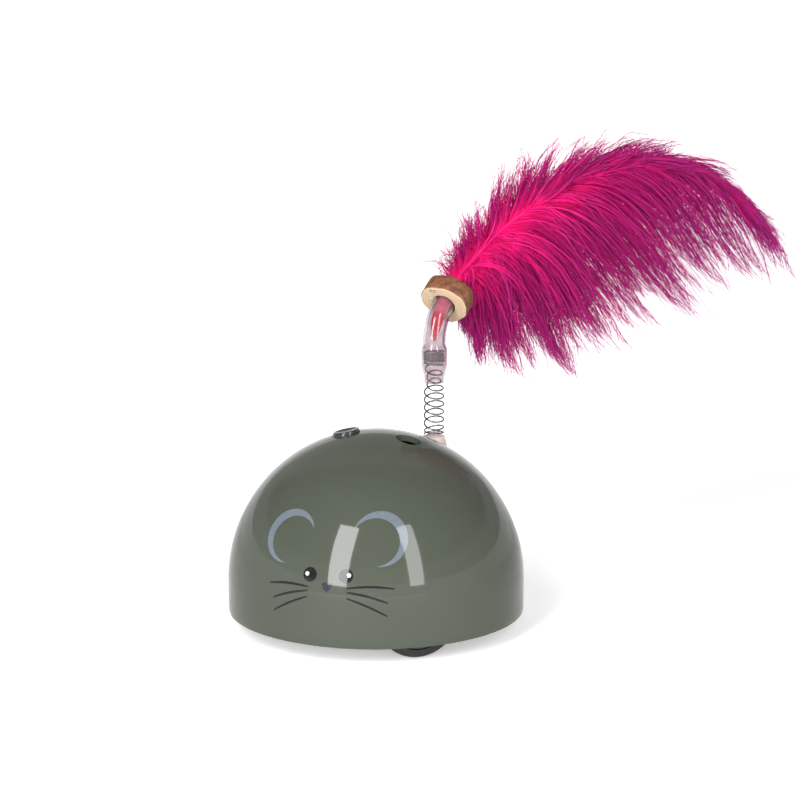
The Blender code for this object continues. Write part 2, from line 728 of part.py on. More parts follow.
def make_plate(material):
    """The base plate, with slots, ears, saddles, posts and screw wells."""
    holes = []
    slot_half = TYRE_RADIUS * math.sin(math.acos(max(0.0, WHEEL_AXIS - PLATE_THICKNESS) / TYRE_RADIUS))
    slot_half += SLOT_MARGIN
    slot_inner = HUB_GEAR_INNER - IDLER_STEP / 2
    slot_outer = TYRE_OUTER_FACE + SLOT_MARGIN
    for side in (1, -1):
        corners = [(slot_inner, -slot_half), (slot_outer, -slot_half)]
        corners += [(slot_outer, slot_half), (slot_inner, slot_half)]
        holes.append([drive_point(along, across, side) for along, across in corners])
    for place in glide_places():
        holes.append(ring_points(GLIDE_STEM_RADIUS + FIT_GAP, PIN_STEPS, place))
    pad = ring_points(REST_RADIUS, PIN_STEPS)
    disc = flat_shape(ring_points(PLATE_RADIUS, SHELL_STEPS), holes, 0.0, PLATE_THICKNESS, pad)
    plate = finish_object("base_plate", disc, material)
    low = PLATE_THICKNESS - WELD
    for index, bearing in enumerate(boss_bearings()):
        place = polar(BOSS_CIRCLE, bearing)
        outer = ring_points(WELL_RADIUS + WELL_WALL, PIN_STEPS, place)
        tower = flat_shape(outer, [], low, WELL_TOP)
        change(plate, f"well_tower_{index}", tower, "UNION")
    for index, bearing in enumerate(boss_bearings()):
        place = polar(BOSS_CIRCLE, bearing)
        well = flat_shape(hole_points(WELL_RADIUS, PIN_STEPS, place), [], -OVERRUN, WELL_DEPTH)
        change(plate, f"well_{index}", well, "DIFFERENCE")
        ring = ring_points(CASE_SCREW_RADIUS + RUN_GAP, PIN_STEPS, place, bearing)
        hole = flat_shape(ring, [], -OVERRUN, WELL_TOP + OVERRUN)
        change(plate, f"well_hole_{index}", hole, "DIFFERENCE")
    for side, name in ((1, "front"), (-1, "rear")):
        drive = make_empty(f"{name}_plate_frame", turn=(0.0, 0.0, DRIVE_BEARING + 90.0 * (1 - side)))
        half_ear = EAR_WIDTH / 2
        ear = block_shape((EAR_INNER, -half_ear, low), (EAR_OUTER, half_ear, WHEEL_AXIS + EAR_TOP))
        change(plate, f"{name}_ear", ear, "UNION", drive)
        bore = round_hole(AXLE_RADIUS + RUN_GAP, EAR_INNER - OVERRUN, EAR_OUTER + OVERRUN)
        bore.transform(axis_matrix(0.0, WHEEL_AXIS))
        change(plate, f"{name}_ear_bore", bore, "DIFFERENCE", drive)
        motor_across, motor_up = motor_place()
        saddle_top = motor_up - MOTOR_FLAT_HEIGHT / 2 - FIT_GAP
        half_saddle = MOTOR_FLAT_HEIGHT / 3
        for place, along in enumerate((MOTOR_FRONT - SADDLE_INSET, MOTOR_BACK + SADDLE_THICKNESS)):
            saddle = block_shape(
                (along, motor_across - half_saddle, low),
                (along + SADDLE_THICKNESS, motor_across + half_saddle, saddle_top),
            )
            change(plate, f"{name}_saddle_{place}", saddle, "UNION", drive)
        for place, (along, across) in enumerate(peg_places()):
            ring = ring_points(PEG_RADIUS, PIN_STEPS, (along, across))
            peg = flat_shape(ring, [], low, PLATE_SEAT + PEG_HEIGHT)
            change(plate, f"{name}_peg_{place}", peg, "UNION", drive)
        half_cell = CELL_RADIUS * CRADLE_SHARE
        along = CELL_LENGTH / 2 - CRADLE_INSET
        cradle = block_shape(
            (along, -half_cell, low),
            (along + SADDLE_THICKNESS, half_cell, CELL_AXIS - CELL_RADIUS / 2),
        )
        change(plate, f"{name}_cradle", cradle, "UNION", drive)
        across = strap_post_across()
        ring = ring_points(STRAP_POST_RADIUS, PIN_STEPS, (0.0, across))
        post = flat_shape(ring, [], low, STRAP_POST_TOP)
        change(plate, f"{name}_strap_post", post, "UNION", drive)
        ring = hole_points(SMALL_SCREW_RADIUS + RUN_GAP, PIN_STEPS, (0.0, across))
        depth = STRAP_POST_TOP - SMALL_SCREW_LENGTH + STRAP_THICKNESS
        hole = flat_shape(ring, [], depth, STRAP_POST_TOP + OVERRUN)
        change(plate, f"{name}_strap_hole", hole, "DIFFERENCE", drive)
    drive = make_empty("cell_bed_frame", turn=(0.0, 0.0, DRIVE_BEARING))
    bed = round_hole(CELL_RADIUS + FIT_GAP, -CELL_LENGTH / 2, CELL_LENGTH / 2, BARREL_STEPS)
    bed.transform(axis_matrix(0.0, CELL_AXIS))
    change(plate, "cell_bed", bed, "DIFFERENCE", drive)
    return plate


def peg_places():
    """Where the gear frame's two feet stand, along and across the drive."""
    motor_across, _ = motor_place()
    inner_foot = (FRAME_INNER - FOOT_LENGTH / 2, -FOOT_WIDTH / 4)
    outer_foot = (FRAME_OUTER + FOOT_LENGTH / 2, motor_across + MOTOR_RADIUS - FOOT_WIDTH / 2)
    return inner_foot, outer_foot


def strap_post_across():
    """How far from the cell's axis the strap's posts stand."""
    return CELL_RADIUS + FIT_GAP + STRAP_THICKNESS + STRAP_POST_RADIUS


def axis_matrix(across, up):
    """Turns a shape made along Z to lie along the drive, at a place across and up."""
    turn = Matrix(((0.0, 0.0, 1.0), (1.0, 0.0, 0.0), (0.0, 1.0, 0.0))).to_4x4()
    return Matrix.Translation((0.0, across, up)) @ turn


def make_drive(name, side, looks):
    """One drive: wheel, gears, motor and the frame that holds them."""
    frame = make_empty(f"{name}_drive", turn=(0.0, 0.0, DRIVE_BEARING + 90.0 * (1 - side)))
    along_drive = (90.0, 0.0, 90.0)
    wheel = make_empty(f"{name}_wheel_axis", (0.0, 0.0, WHEEL_AXIS), along_drive, frame)
    idler_across, idler_up = idler_place()
    idler = make_empty(f"{name}_idler_axis", (0.0, idler_across, idler_up), along_drive, frame)
    motor_across, motor_up = motor_place()
    motor = make_empty(f"{name}_motor_axis", (0.0, motor_across, motor_up), along_drive, frame)
    make_wheel(name, wheel, looks)
    make_idler(name, idler, looks)
    make_motor(name, motor, looks)
    make_gear_frame(name, frame, looks)


def make_wheel(name, axis, looks):
    """Tyre, hub with its moulded gear, and the axle that turns with them."""
    lugs = []
    for step in range(2 * LUG_COUNT):
        radius = TYRE_RADIUS - (step % 2) * LUG_DEPTH
        lugs.append(polar(radius, 180.0 * step / LUG_COUNT + 90.0))
    bore = ring_points(TYRE_BORE, BARREL_STEPS)
    tyre = flat_shape(lugs, [bore], TYRE_INNER_FACE, TYRE_OUTER_FACE)
    finish_object(f"{name}_tyre", tyre, looks["rubber"], axis)
    web_low = WHEEL_MIDDLE - HUB_WEB / 2
    web_high = WHEEL_MIDDLE + HUB_WEB / 2
    rim_inner = HUB_RADIUS - HUB_RIM_DEPTH
    low = HUB_GEAR_OUTER - WELD
    outline = [
        (0.0, low),
        (HUB_BOSS_RADIUS, low),
        (HUB_BOSS_RADIUS, web_low),
        (rim_inner, web_low),
        (rim_inner, TYRE_INNER_FACE),
        (HUB_RADIUS, TYRE_INNER_FACE),
        (HUB_RADIUS, TYRE_OUTER_FACE),
        (rim_inner, TYRE_OUTER_FACE),
        (rim_inner, web_high),
        (HUB_BOSS_RADIUS, web_high),
        (HUB_BOSS_RADIUS, TYRE_OUTER_FACE),
        (0.0, TYRE_OUTER_FACE),
    ]
    disc = turned_shape(outline, BARREL_STEPS)
    hub = finish_object(f"{name}_wheel_hub", disc, looks["dark_plastic"], axis)
    gear = flat_shape(gear_outline(HUB_TEETH, IDLER_BEARING), [], HUB_GEAR_INNER, HUB_GEAR_OUTER)
    change(hub, f"{name}_hub_gear", gear, "UNION", axis)
    bore = round_hole(AXLE_RADIUS + RUN_GAP, HUB_GEAR_INNER - OVERRUN, TYRE_OUTER_FACE + OVERRUN)
    change(hub, f"{name}_hub_bore", bore, "DIFFERENCE", axis)
    hole_circle = (HUB_BOSS_RADIUS + rim_inner) / 2
    for index in range(HUB_HOLES):
        ring = hole_points(HUB_HOLE_RADIUS, PIN_STEPS, polar(hole_circle, 360.0 * index / HUB_HOLES))
        hole = flat_shape(ring, [], TYRE_INNER_FACE, TYRE_OUTER_FACE)
        change(hub, f"{name}_hub_hole_{index}", hole, "DIFFERENCE", axis)
    axle = round_rod(AXLE_RADIUS, FRAME_INNER, EAR_OUTER)
    finish_object(f"{name}_axle", axle, looks["steel"], axis)


def make_idler(name, axis, looks):
    """The double idler gear and its fixed pin."""
    bore = IDLER_PIN_RADIUS + RUN_GAP
    wheel = gear_outline(IDLER_TEETH, MOTOR_BEARING)
    half_pitch = 180.0 / IDLER_PINION_TEETH
    pinion = gear_outline(IDLER_PINION_TEETH, IDLER_BEARING + 180.0 + half_pitch)
    pinion_outer = HUB_GEAR_OUTER - RUN_GAP
    large = flat_shape(wheel, [], IDLER_INNER, IDLER_OUTER)
    gear = finish_object(f"{name}_idler_gear", large, looks["gear_plastic"], axis)
    small = flat_shape(pinion, [], IDLER_OUTER - WELD, pinion_outer)
    change(gear, f"{name}_idler_pinion", small, "UNION", axis)
    hole = round_hole(bore, IDLER_INNER - OVERRUN, pinion_outer + OVERRUN)
    change(gear, f"{name}_idler_bore", hole, "DIFFERENCE", axis)
    head_low = pinion_outer + RUN_GAP
    outline = [
        (0.0, FRAME_INNER),
        (IDLER_PIN_RADIUS, FRAME_INNER),
        (IDLER_PIN_RADIUS, head_low),
        (IDLER_PIN_HEAD, head_low),
        (IDLER_PIN_HEAD, head_low + IDLER_PIN_HEAD_WIDTH),
        (0.0, head_low + IDLER_PIN_HEAD_WIDTH),
    ]
    finish_object(f"{name}_idler_pin", turned_shape(outline, PIN_STEPS), looks["steel"], axis)


def make_motor(name, axis, looks):
    """Motor can, end cap with two tabs, shaft and pinion."""
    flat = MOTOR_FLAT_HEIGHT / 2
    half_flat = math.degrees(math.asin(flat / MOTOR_RADIUS))
    outline = []
    for middle in (0.0, 180.0):
        for step in range(BARREL_STEPS // 2):
            turn = half_flat * (2 * step / (BARREL_STEPS // 2 - 1) - 1)
            outline.append(polar(MOTOR_RADIUS, middle + turn))
    barrel = flat_shape(outline, [], MOTOR_BACK, MOTOR_FRONT)
    can = finish_object(f"{name}_motor_can", barrel, looks["steel"], axis)
    boss_high = FRAME_OUTER - FIT_GAP
    boss = round_rod(MOTOR_BOSS_RADIUS, MOTOR_FRONT - WELD, boss_high, BARREL_STEPS)
    change(can, f"{name}_motor_boss", boss, "UNION", axis)
    shaft_low = MOTOR_FRONT - SHAFT_SEAT
    bore = round_hole(SHAFT_RADIUS + RUN_GAP, shaft_low - FIT_GAP, boss_high + OVERRUN)
    change(can, f"{name}_motor_bore", bore, "DIFFERENCE", axis)
    cap_high = MOTOR_BACK - FIT_GAP
    cap_low = cap_high - END_CAP_LENGTH
    inner = [(x * MOTOR_CAP_SHARE, y * MOTOR_CAP_SHARE) for x, y in outline]
    disc = flat_shape(inner, [], cap_low, cap_high)
    cap = finish_object(f"{name}_motor_cap", disc, looks["white_plastic"], axis)
    for index, across in enumerate((-TERMINAL_SPREAD / 2, TERMINAL_SPREAD / 2)):
        tab = block_shape(
            (across - TERMINAL_WIDTH / 2, -TERMINAL_THICKNESS / 2, cap_low - TERMINAL_LENGTH),
            (across + TERMINAL_WIDTH / 2, TERMINAL_THICKNESS / 2, cap_low + WELD),
        )
        change(cap, f"{name}_terminal_{index}", tab, "UNION", axis)
    pinion_low = IDLER_INNER - RUN_GAP
    pinion_high = IDLER_OUTER + RUN_GAP
    shaft = round_rod(SHAFT_RADIUS, shaft_low, pinion_high + RUN_GAP)
    finish_object(f"{name}_motor_shaft", shaft, looks["steel"], axis)
    phase = MOTOR_BEARING + 180.0 + 180.0 / PINION_TEETH
    bore_ring = ring_points(SHAFT_RADIUS + RUN_GAP, PIN_STEPS)
    pinion = flat_shape(gear_outline(PINION_TEETH, phase), [bore_ring], pinion_low, pinion_high)
    finish_object(f"{name}_motor_pinion", pinion, looks["brass"], axis)


def make_gear_frame(name, frame, looks):
    """The upright wall that carries the axle, the idler pin and the motor, on two feet."""
    idler_across, idler_up = idler_place()
    motor_across, motor_up = motor_place()
    rounds = ring_points(FRAME_AXLE_ROUND, BARREL_STEPS, (0.0, WHEEL_AXIS))
    rounds += ring_points(FRAME_IDLER_ROUND, BARREL_STEPS, (idler_across, idler_up))
    rounds += ring_points(MOTOR_RADIUS + FRAME_MOTOR_MARGIN, BARREL_STEPS, (motor_across, motor_up))
    left = -FRAME_AXLE_ROUND
    right = motor_across + MOTOR_RADIUS + FRAME_MOTOR_MARGIN
    rounds = [(across, max(up, PLATE_SEAT)) for across, up in rounds]
    rounds += [(left, PLATE_SEAT), (right, PLATE_SEAT)]
    holes = [
        ring_points(AXLE_RADIUS + RUN_GAP, PIN_STEPS, (0.0, WHEEL_AXIS)),
        ring_points(IDLER_PIN_RADIUS + RUN_GAP, PIN_STEPS, (idler_across, idler_up)),
        ring_points(MOTOR_BOSS_RADIUS + FIT_GAP, BARREL_STEPS, (motor_across, motor_up)),
    ]
    wall = flat_shape(hull_outline(rounds), holes, FRAME_INNER, FRAME_OUTER)
    wall.transform(axis_matrix(0.0, 0.0))
    piece = finish_object(f"{name}_gear_frame", wall, looks["white_plastic"], frame)
    inner_foot, outer_foot = peg_places()
    half_width = FOOT_WIDTH / 2
    ends = (
        (inner_foot, FRAME_INNER - FOOT_LENGTH, FRAME_INNER + WELD),
        (outer_foot, FRAME_OUTER - WELD, FRAME_OUTER + FOOT_LENGTH),
    )
    for index, ((along, across), low, high) in enumerate(ends):
        foot = block_shape(
            (low, across - half_width, PLATE_SEAT),
            (high, across + half_width, PLATE_SEAT + FOOT_HEIGHT),
        )
        change(piece, f"{name}_foot_{index}", foot, "UNION", frame)
        ring = hole_points(PEG_RADIUS + RUN_GAP, PIN_STEPS, (along, across))
        socket = flat_shape(ring, [], PLATE_SEAT - OVERRUN, PLATE_SEAT + PEG_HEIGHT + FIT_GAP)
        change(piece, f"{name}_foot_hole_{index}", socket, "DIFFERENCE", frame)


def make_glides(looks):
    """Two low-friction feet pushed into the base plate."""
    collar_top = -FIT_GAP
    outline = [
        (0.0, -GROUND_CLEARANCE),
        (GLIDE_FOOT_RADIUS, -GROUND_CLEARANCE),
        (GLIDE_STEM_RADIUS + GLIDE_COLLAR, collar_top - 2 * GLIDE_COLLAR),
        (GLIDE_COLLAR_RADIUS, collar_top - GLIDE_COLLAR),
        (GLIDE_COLLAR_RADIUS, collar_top),
        (GLIDE_STEM_RADIUS, collar_top),
        (GLIDE_STEM_RADIUS, GLIDE_STEM_LENGTH),
        (0.0, GLIDE_STEM_LENGTH),
    ]
    for name, (x, y) in zip(("left_glide", "right_glide"), glide_places()):
        shape = turned_shape(outline, PIN_STEPS)
        finish_object(name, shape, looks["dark_plastic"], place=(x, y, 0.0))


def make_screw(name, place, head_radius, head, radius, length, material, drop):
    """A pan-head screw; drop is 1 when its head is below its shank and -1 when above."""
    seat = place[2]
    outline = [
        (0.0, seat - drop * head),
        (head_radius * SCREW_CROWN_SHARE, seat - drop * head),
        (head_radius, seat - drop * head * SCREW_SIDE_SHARE),
        (head_radius, seat),
        (radius, seat),
        (radius, seat + drop * (length - radius)),
        (0.0, seat + drop * length),
    ]
    finish_object(name, turned_shape(outline, PIN_STEPS), material, place=(place[0], place[1], 0.0))


def make_screws(looks):
    """Case, board and strap screws."""
    for index, bearing in enumerate(boss_bearings()):
        x, y = polar(BOSS_CIRCLE, bearing)
        seat = WELL_DEPTH - FIT_GAP
        make_screw(
            f"case_screw_{index + 1}", (x, y, seat), CASE_SCREW_HEAD_RADIUS, CASE_SCREW_HEAD,
            CASE_SCREW_RADIUS, CASE_SCREW_LENGTH, looks["steel"], 1,
        )
    for index, (x, y) in enumerate(board_posts()):
        seat = BOARD_UNDER - FIT_GAP
        make_screw(
            f"board_screw_{index + 1}", (x, y, seat), SMALL_SCREW_HEAD_RADIUS, SMALL_SCREW_HEAD,
            SMALL_SCREW_RADIUS, SMALL_SCREW_LENGTH, looks["steel"], 1,
        )
    for index, side in enumerate((1, -1)):
        x, y = drive_point(0.0, strap_post_across(), side)
        seat = STRAP_POST_TOP + STRAP_THICKNESS + 2 * FIT_GAP
        make_screw(
            f"strap_screw_{index + 1}", (x, y, seat), SMALL_SCREW_HEAD_RADIUS, SMALL_SCREW_HEAD,
            SMALL_SCREW_RADIUS, SMALL_SCREW_LENGTH, looks["steel"], -1,
        )


def make_cell(looks):
    """The rechargeable cell between the motors, and the strap over it."""
    frame = make_empty("cell_axis", (0.0, 0.0, 0.0), (0.0, 0.0, DRIVE_BEARING))
    half = CELL_LENGTH / 2
    outline = [
        (0.0, -half),
        (CELL_RADIUS - CELL_EDGE, -half),
        (CELL_RADIUS, -half + CELL_EDGE),
        (CELL_RADIUS, half - CELL_NIPPLE - CELL_EDGE),
        (CELL_RADIUS - CELL_EDGE, half - CELL_NIPPLE),
        (CELL_NIPPLE_RADIUS, half - CELL_NIPPLE),
        (CELL_NIPPLE_RADIUS, half),
        (0.0, half),
    ]
    cell = turned_shape(outline, BARREL_STEPS)
    cell.transform(axis_matrix(0.0, CELL_AXIS))
    finish_object("battery_cell", cell, looks["cell_wrap"], frame)
    inner = CELL_RADIUS + FIT_GAP
    outer = inner + STRAP_THICKNESS
    flange_low = STRAP_POST_TOP + FIT_GAP
    flange_high = flange_low + STRAP_THICKNESS
    low_turn = math.degrees(math.asin((flange_low - CELL_AXIS) / inner))
    high_turn = math.degrees(math.asin((flange_high - CELL_AXIS) / outer))
    reach = outer + STRAP_FLANGE
    points = [(reach, flange_low)]
    for step in range(PIN_STEPS + 1):
        across, up = polar(inner, low_turn + (180.0 - 2 * low_turn) * step / PIN_STEPS)
        points.append((across, CELL_AXIS + up))
    points += [(-reach, flange_low), (-reach, flange_high)]
    for step in range(PIN_STEPS + 1):
        across, up = polar(outer, 180.0 - high_turn - (180.0 - 2 * high_turn) * step / PIN_STEPS)
        points.append((across, CELL_AXIS + up))
    points.append((reach, flange_high))
    strap = flat_shape(points, [], -STRAP_WIDTH / 2, STRAP_WIDTH / 2)
    strap.transform(axis_matrix(0.0, 0.0))
    piece = finish_object("cell_strap", strap, looks["white_plastic"], frame)
    for index, side in enumerate((1, -1)):
        ring = hole_points(SMALL_SCREW_RADIUS + RUN_GAP, PIN_STEPS, (0.0, side * strap_post_across()))
        hole = flat_shape(ring, [], flange_low - OVERRUN, flange_high + OVERRUN)
        change(piece, f"strap_screw_hole_{index}", hole, "DIFFERENCE", frame)


def make_board(looks):
    """The circuit board, the switch on it and the charging socket."""
    corners = rounded_box(BOARD_LENGTH / 2, BOARD_DEPTH / 2, BOARD_CORNER)
    outline = [(x, y + BOARD_SHIFT) for x, y in corners]
    holes = [ring_points(SMALL_SCREW_RADIUS + RUN_GAP, PIN_STEPS, place) for place in board_posts()]
    board = flat_shape(outline, holes, BOARD_UNDER, BOARD_TOP)
    finish_object("circuit_board", board, looks["board"])
    seat = BOARD_TOP + FIT_GAP
    half = SWITCH_SIZE / 2
    switch_top = seat + SWITCH_HEIGHT
    x, y = BUTTON_PLACE
    block = block_shape((x - half, y - half, seat), (x + half, y + half, switch_top))
    housing = finish_object("power_switch", block, looks["dark_plastic"])
    ring = hole_points(PLUNGER_RADIUS + FIT_GAP, PIN_STEPS, BUTTON_PLACE)
    bore = flat_shape(ring, [], seat + SWITCH_FLOOR, switch_top + OVERRUN)
    change(housing, "switch_bore", bore, "DIFFERENCE")
    plunger_low = seat + SWITCH_FLOOR + BUTTON_TRAVEL + FIT_GAP
    plunger = round_rod(PLUNGER_RADIUS, plunger_low, plunger_low + PLUNGER_HEIGHT)
    finish_object("switch_plunger", plunger, looks["white_plastic"], place=(*BUTTON_PLACE, 0.0))
    socket_top = dome_height(INNER_RADIUS, SOCKET_REACH + SOCKET_RADIUS) - SOCKET_DROP
    floor = seat + SOCKET_FLOOR
    outline = [
        (0.0, seat),
        (SOCKET_RADIUS, seat),
        (SOCKET_RADIUS, socket_top),
        (SOCKET_BORE, socket_top),
        (SOCKET_BORE, floor),
        (0.0, floor),
    ]
    socket = turned_shape(outline, BARREL_STEPS)
    finish_object("charge_socket", socket, looks["dark_plastic"], place=(*SOCKET_PLACE, 0.0))
    pin_low = floor + FIT_GAP
    pin = round_rod(SOCKET_PIN_RADIUS, pin_low, pin_low + SOCKET_PIN_HEIGHT)
    finish_object("socket_pin", pin, looks["brass"], place=(*SOCKET_PLACE, 0.0))


def make_button(looks):
    """The power button: a dished cap level with the dome's slope, a flange and a stem."""
    flange_edge = dome_height(INNER_RADIUS, BUTTON_REACH + BUTTON_FLANGE_RADIUS)
    flange_high = flange_edge - BUTTON_FLANGE_DROP + FIT_GAP
    flange_low = flange_high - BUTTON_FLANGE
    plunger_top = BOARD_TOP + FIT_GAP + SWITCH_FLOOR + BUTTON_TRAVEL + FIT_GAP + PLUNGER_HEIGHT
    stem_low = plunger_top + FIT_GAP
    top = DOME_CENTRE + DOME_RADIUS + 2 * BUTTON_PROUD
    outline = [
        (0.0, stem_low),
        (BUTTON_STEM_RADIUS, stem_low),
        (BUTTON_STEM_RADIUS, flange_low),
        (BUTTON_FLANGE_RADIUS, flange_low),
        (BUTTON_FLANGE_RADIUS, flange_high),
        (BUTTON_RADIUS, flange_high),
        (BUTTON_RADIUS, top),
        (0.0, top),
    ]
    shape = turned_shape(outline, BARREL_STEPS)
    button = finish_object("power_button", shape, looks["dark_plastic"], place=(*BUTTON_PLACE, 0.0))
    proud = DOME_RADIUS + BUTTON_PROUD
    dome = [(0.0, DOME_CENTRE), *arc_profile(proud, 0.0, 90.0, BUTTON_SLOPE_RINGS)]
    dome[-1] = (0.0, dome[-1][1])
    change(button, "button_slope", turned_shape(dome, SHELL_STEPS), "INTERSECT")
    slope = math.asin(BUTTON_REACH / proud)
    distance = proud + BUTTON_DISH_RADIUS - BUTTON_DISH_DEPTH
    x, y = (share * distance / proud for share in BUTTON_PLACE)
    centre = (x, y, DOME_CENTRE + distance * math.cos(slope))
    dish = bmesh.new()
    bmesh.ops.create_uvsphere(
        dish, u_segments=BARREL_STEPS, v_segments=BARREL_STEPS, radius=BUTTON_DISH_RADIUS
    )
    change(button, "button_dish", dish, "DIFFERENCE", place=centre)


def make_plug(looks):
    """The soft plug: a stem in the shell's sleeve and a cap with a level seat for the spring."""
    stem_low = dome_height(DOME_RADIUS, PLUG_REACH) - PLUG_STEM_LENGTH
    cap_low = dome_height(DOME_RADIUS, PLUG_REACH + PLUG_CAP_RADIUS) - OVERRUN
    shoulder = PLUG_SEAT_RADIUS + (PLUG_CAP_RADIUS - PLUG_SEAT_RADIUS) * PLUG_SHOULDER_SHARE
    outline = [
        (0.0, cap_low),
        (PLUG_CAP_RADIUS, cap_low),
        (shoulder, PLUG_SEAT - PLUG_SHOULDER_DROP),
        (PLUG_SEAT_RADIUS, PLUG_SEAT - PLUG_SEAT_EDGE),
        (PLUG_SEAT_RADIUS - PLUG_SEAT_EDGE / 2, PLUG_SEAT),
        (PLUG_SPIGOT_RADIUS, PLUG_SEAT),
        (PLUG_SPIGOT_RADIUS - PLUG_SEAT_EDGE, PLUG_SEAT + PLUG_SPIGOT_HEIGHT),
        (0.0, PLUG_SEAT + PLUG_SPIGOT_HEIGHT),
    ]
    shape = turned_shape(outline, BARREL_STEPS)
    plug = finish_object("feather_plug", shape, looks["silicone"], place=(PLUG_X, PLUG_Y, 0.0))
    skin = DOME_RADIUS + FIT_GAP
    dome = [(0.0, DOME_CENTRE), *arc_profile(skin, 0.0, 90.0, PLUG_SLOPE_RINGS)]
    dome[-1] = (0.0, dome[-1][1])
    change(plug, "plug_underside", turned_shape(dome, PLUG_SLOPE_STEPS), "DIFFERENCE")
    stem = round_rod(PLUG_STEM_RADIUS, stem_low, PLUG_SEAT - PLUG_SEAT_EDGE)
    change(plug, "plug_stem", stem, "UNION", place=(PLUG_X, PLUG_Y, 0.0))


def ease(value, low, high):
    """Rises smoothly from 0 to 1 between two values."""
    share = min(1.0, max(0.0, (value - low) / (high - low)))
    return share * share * (3.0 - 2.0 * share)


def coil_radius(height):
    """Radius of the coil at a height: it is drawn in where it enters the tube."""
    drawn_in = ease(height, MOUTH_HEIGHT - FREE_PITCH, MOUTH_HEIGHT - WIRE_RADIUS)
    let_out = ease(height, MOUTH_HEIGHT + TUBE_LIP, DEAD_START)
    return COIL_RADIUS - (COIL_RADIUS - NECK_COIL_RADIUS) * (drawn_in - let_out)


def spring_points():
    """The coil as one helix: a closed end, free turns, turns in the tube and dead turns at its top."""
    stages = (
        (END_TURNS, CLOSE_PITCH),
        (FREE_TURNS + INNER_TURNS, FREE_PITCH),
        (DEAD_TURNS, CLOSE_PITCH),
    )
    turns = sum(stage for stage, _ in stages)
    count = round(turns * POINTS_PER_TURN)
    points = []
    for step in range(count + 1):
        turn = turns * step / count
        height, left = SPRING_START, turn
        for stage, pitch in stages:
            height += min(left, stage) * pitch
            left = max(0.0, left - stage)
        x, y = polar(coil_radius(height), 360.0 * turn + WIRE_START)
        points.append(Vector((PLUG_X + x, PLUG_Y + y, height)))
    for end, inner in ((0, 1), (-1, -2)):
        run = (points[end] - points[inner]).normalized() * 2 * WIRE_RADIUS
        points.insert(0 if end == 0 else len(points), points[end] + run)
    return points


def least_gap(points):
    """The least clear distance between turns that lie more than half a turn apart on the wire."""
    places = np.array(points)
    nearest = math.inf
    for index in range(len(places) - POINTS_PER_TURN // 2 - 1):
        others = places[index + POINTS_PER_TURN // 2 + 1 :]
        starts = others[:-1]
        runs = others[1:] - starts
        if len(starts) == 0:
            continue
        shares = np.einsum("ij,ij->i", places[index] - starts, runs) / np.einsum("ij,ij->i", runs, runs)
        feet = starts + runs * np.clip(shares, 0.0, 1.0)[:, None]
        nearest = min(nearest, float(np.linalg.norm(places[index] - feet, axis=1).min()))
    return nearest - 2 * WIRE_RADIUS


def make_spring(looks):
    """The coil spring, one unbroken wire."""
    points = spring_points()
    gap = least_gap(points)
    print(f"least gap of the spring to itself: {gap * 1000:.3f} mm, wanted {LEAST_COIL_GAP * 1000:.1f} mm")
    tube_along("feather_spring", points, WIRE_RADIUS, looks["steel"], sides=1)


def tube_centre(length):
    """Place and direction on the tube's centre line, at a length from its mouth."""
    straight = BEND_START - MOUTH_HEIGHT
    bend = math.radians(TUBE_BEND_ANGLE)
    toward = Vector((*polar(1.0, TUBE_BEND_BEARING), 0.0))
    start = Vector((PLUG_X, PLUG_Y, MOUTH_HEIGHT))
    up = Vector((0.0, 0.0, 1.0))
    if length <= straight:
        return start + up * length, up
    turned = min(bend, (length - straight) / TUBE_BEND_RADIUS)
    place = start + up * (straight + TUBE_BEND_RADIUS * math.sin(turned))
    place += toward * TUBE_BEND_RADIUS * (1.0 - math.cos(turned))
    direction = up * math.cos(turned) + toward * math.sin(turned)
    rest = max(0.0, length - straight - TUBE_BEND_RADIUS * bend)
    return place + direction * rest, direction


def bend_end():
    """Length of the tube from its mouth to the end of its bend."""
    return BEND_START - MOUTH_HEIGHT + TUBE_BEND_RADIUS * math.radians(TUBE_BEND_ANGLE)


def tube_end():
    """Length from the tube's mouth to its upper end, just past the slice."""
    return bend_end() + SLICE_THICKNESS + 2 * FIT_GAP + TUBE_END


def lofted_shape(rings):
    """Join rings of points into one closed solid, with a flat face at each end."""
    shape = bmesh.new()
    loops = [[shape.verts.new(point) for point in ring] for ring in rings]
    for first, second in zip(loops, loops[1:]):
        for index in range(len(first)):
            after = (index + 1) % len(first)
            shape.faces.new((first[index], first[after], second[after], second[index]))
    shape.faces.new(loops[0])
    shape.faces.new(loops[-1])
    return shape


def ring_round(place, direction, radius, steps):
    """A ring of points square to a direction that lies in the tube's plane."""
    side = Vector((*polar(1.0, TUBE_BEND_BEARING + 90.0), 0.0))
    front = side.cross(direction)
    points = []
    for step in range(steps):
        x, y = polar(radius, 360.0 * step / steps)
        points.append(place + side * x + front * y)
    return points


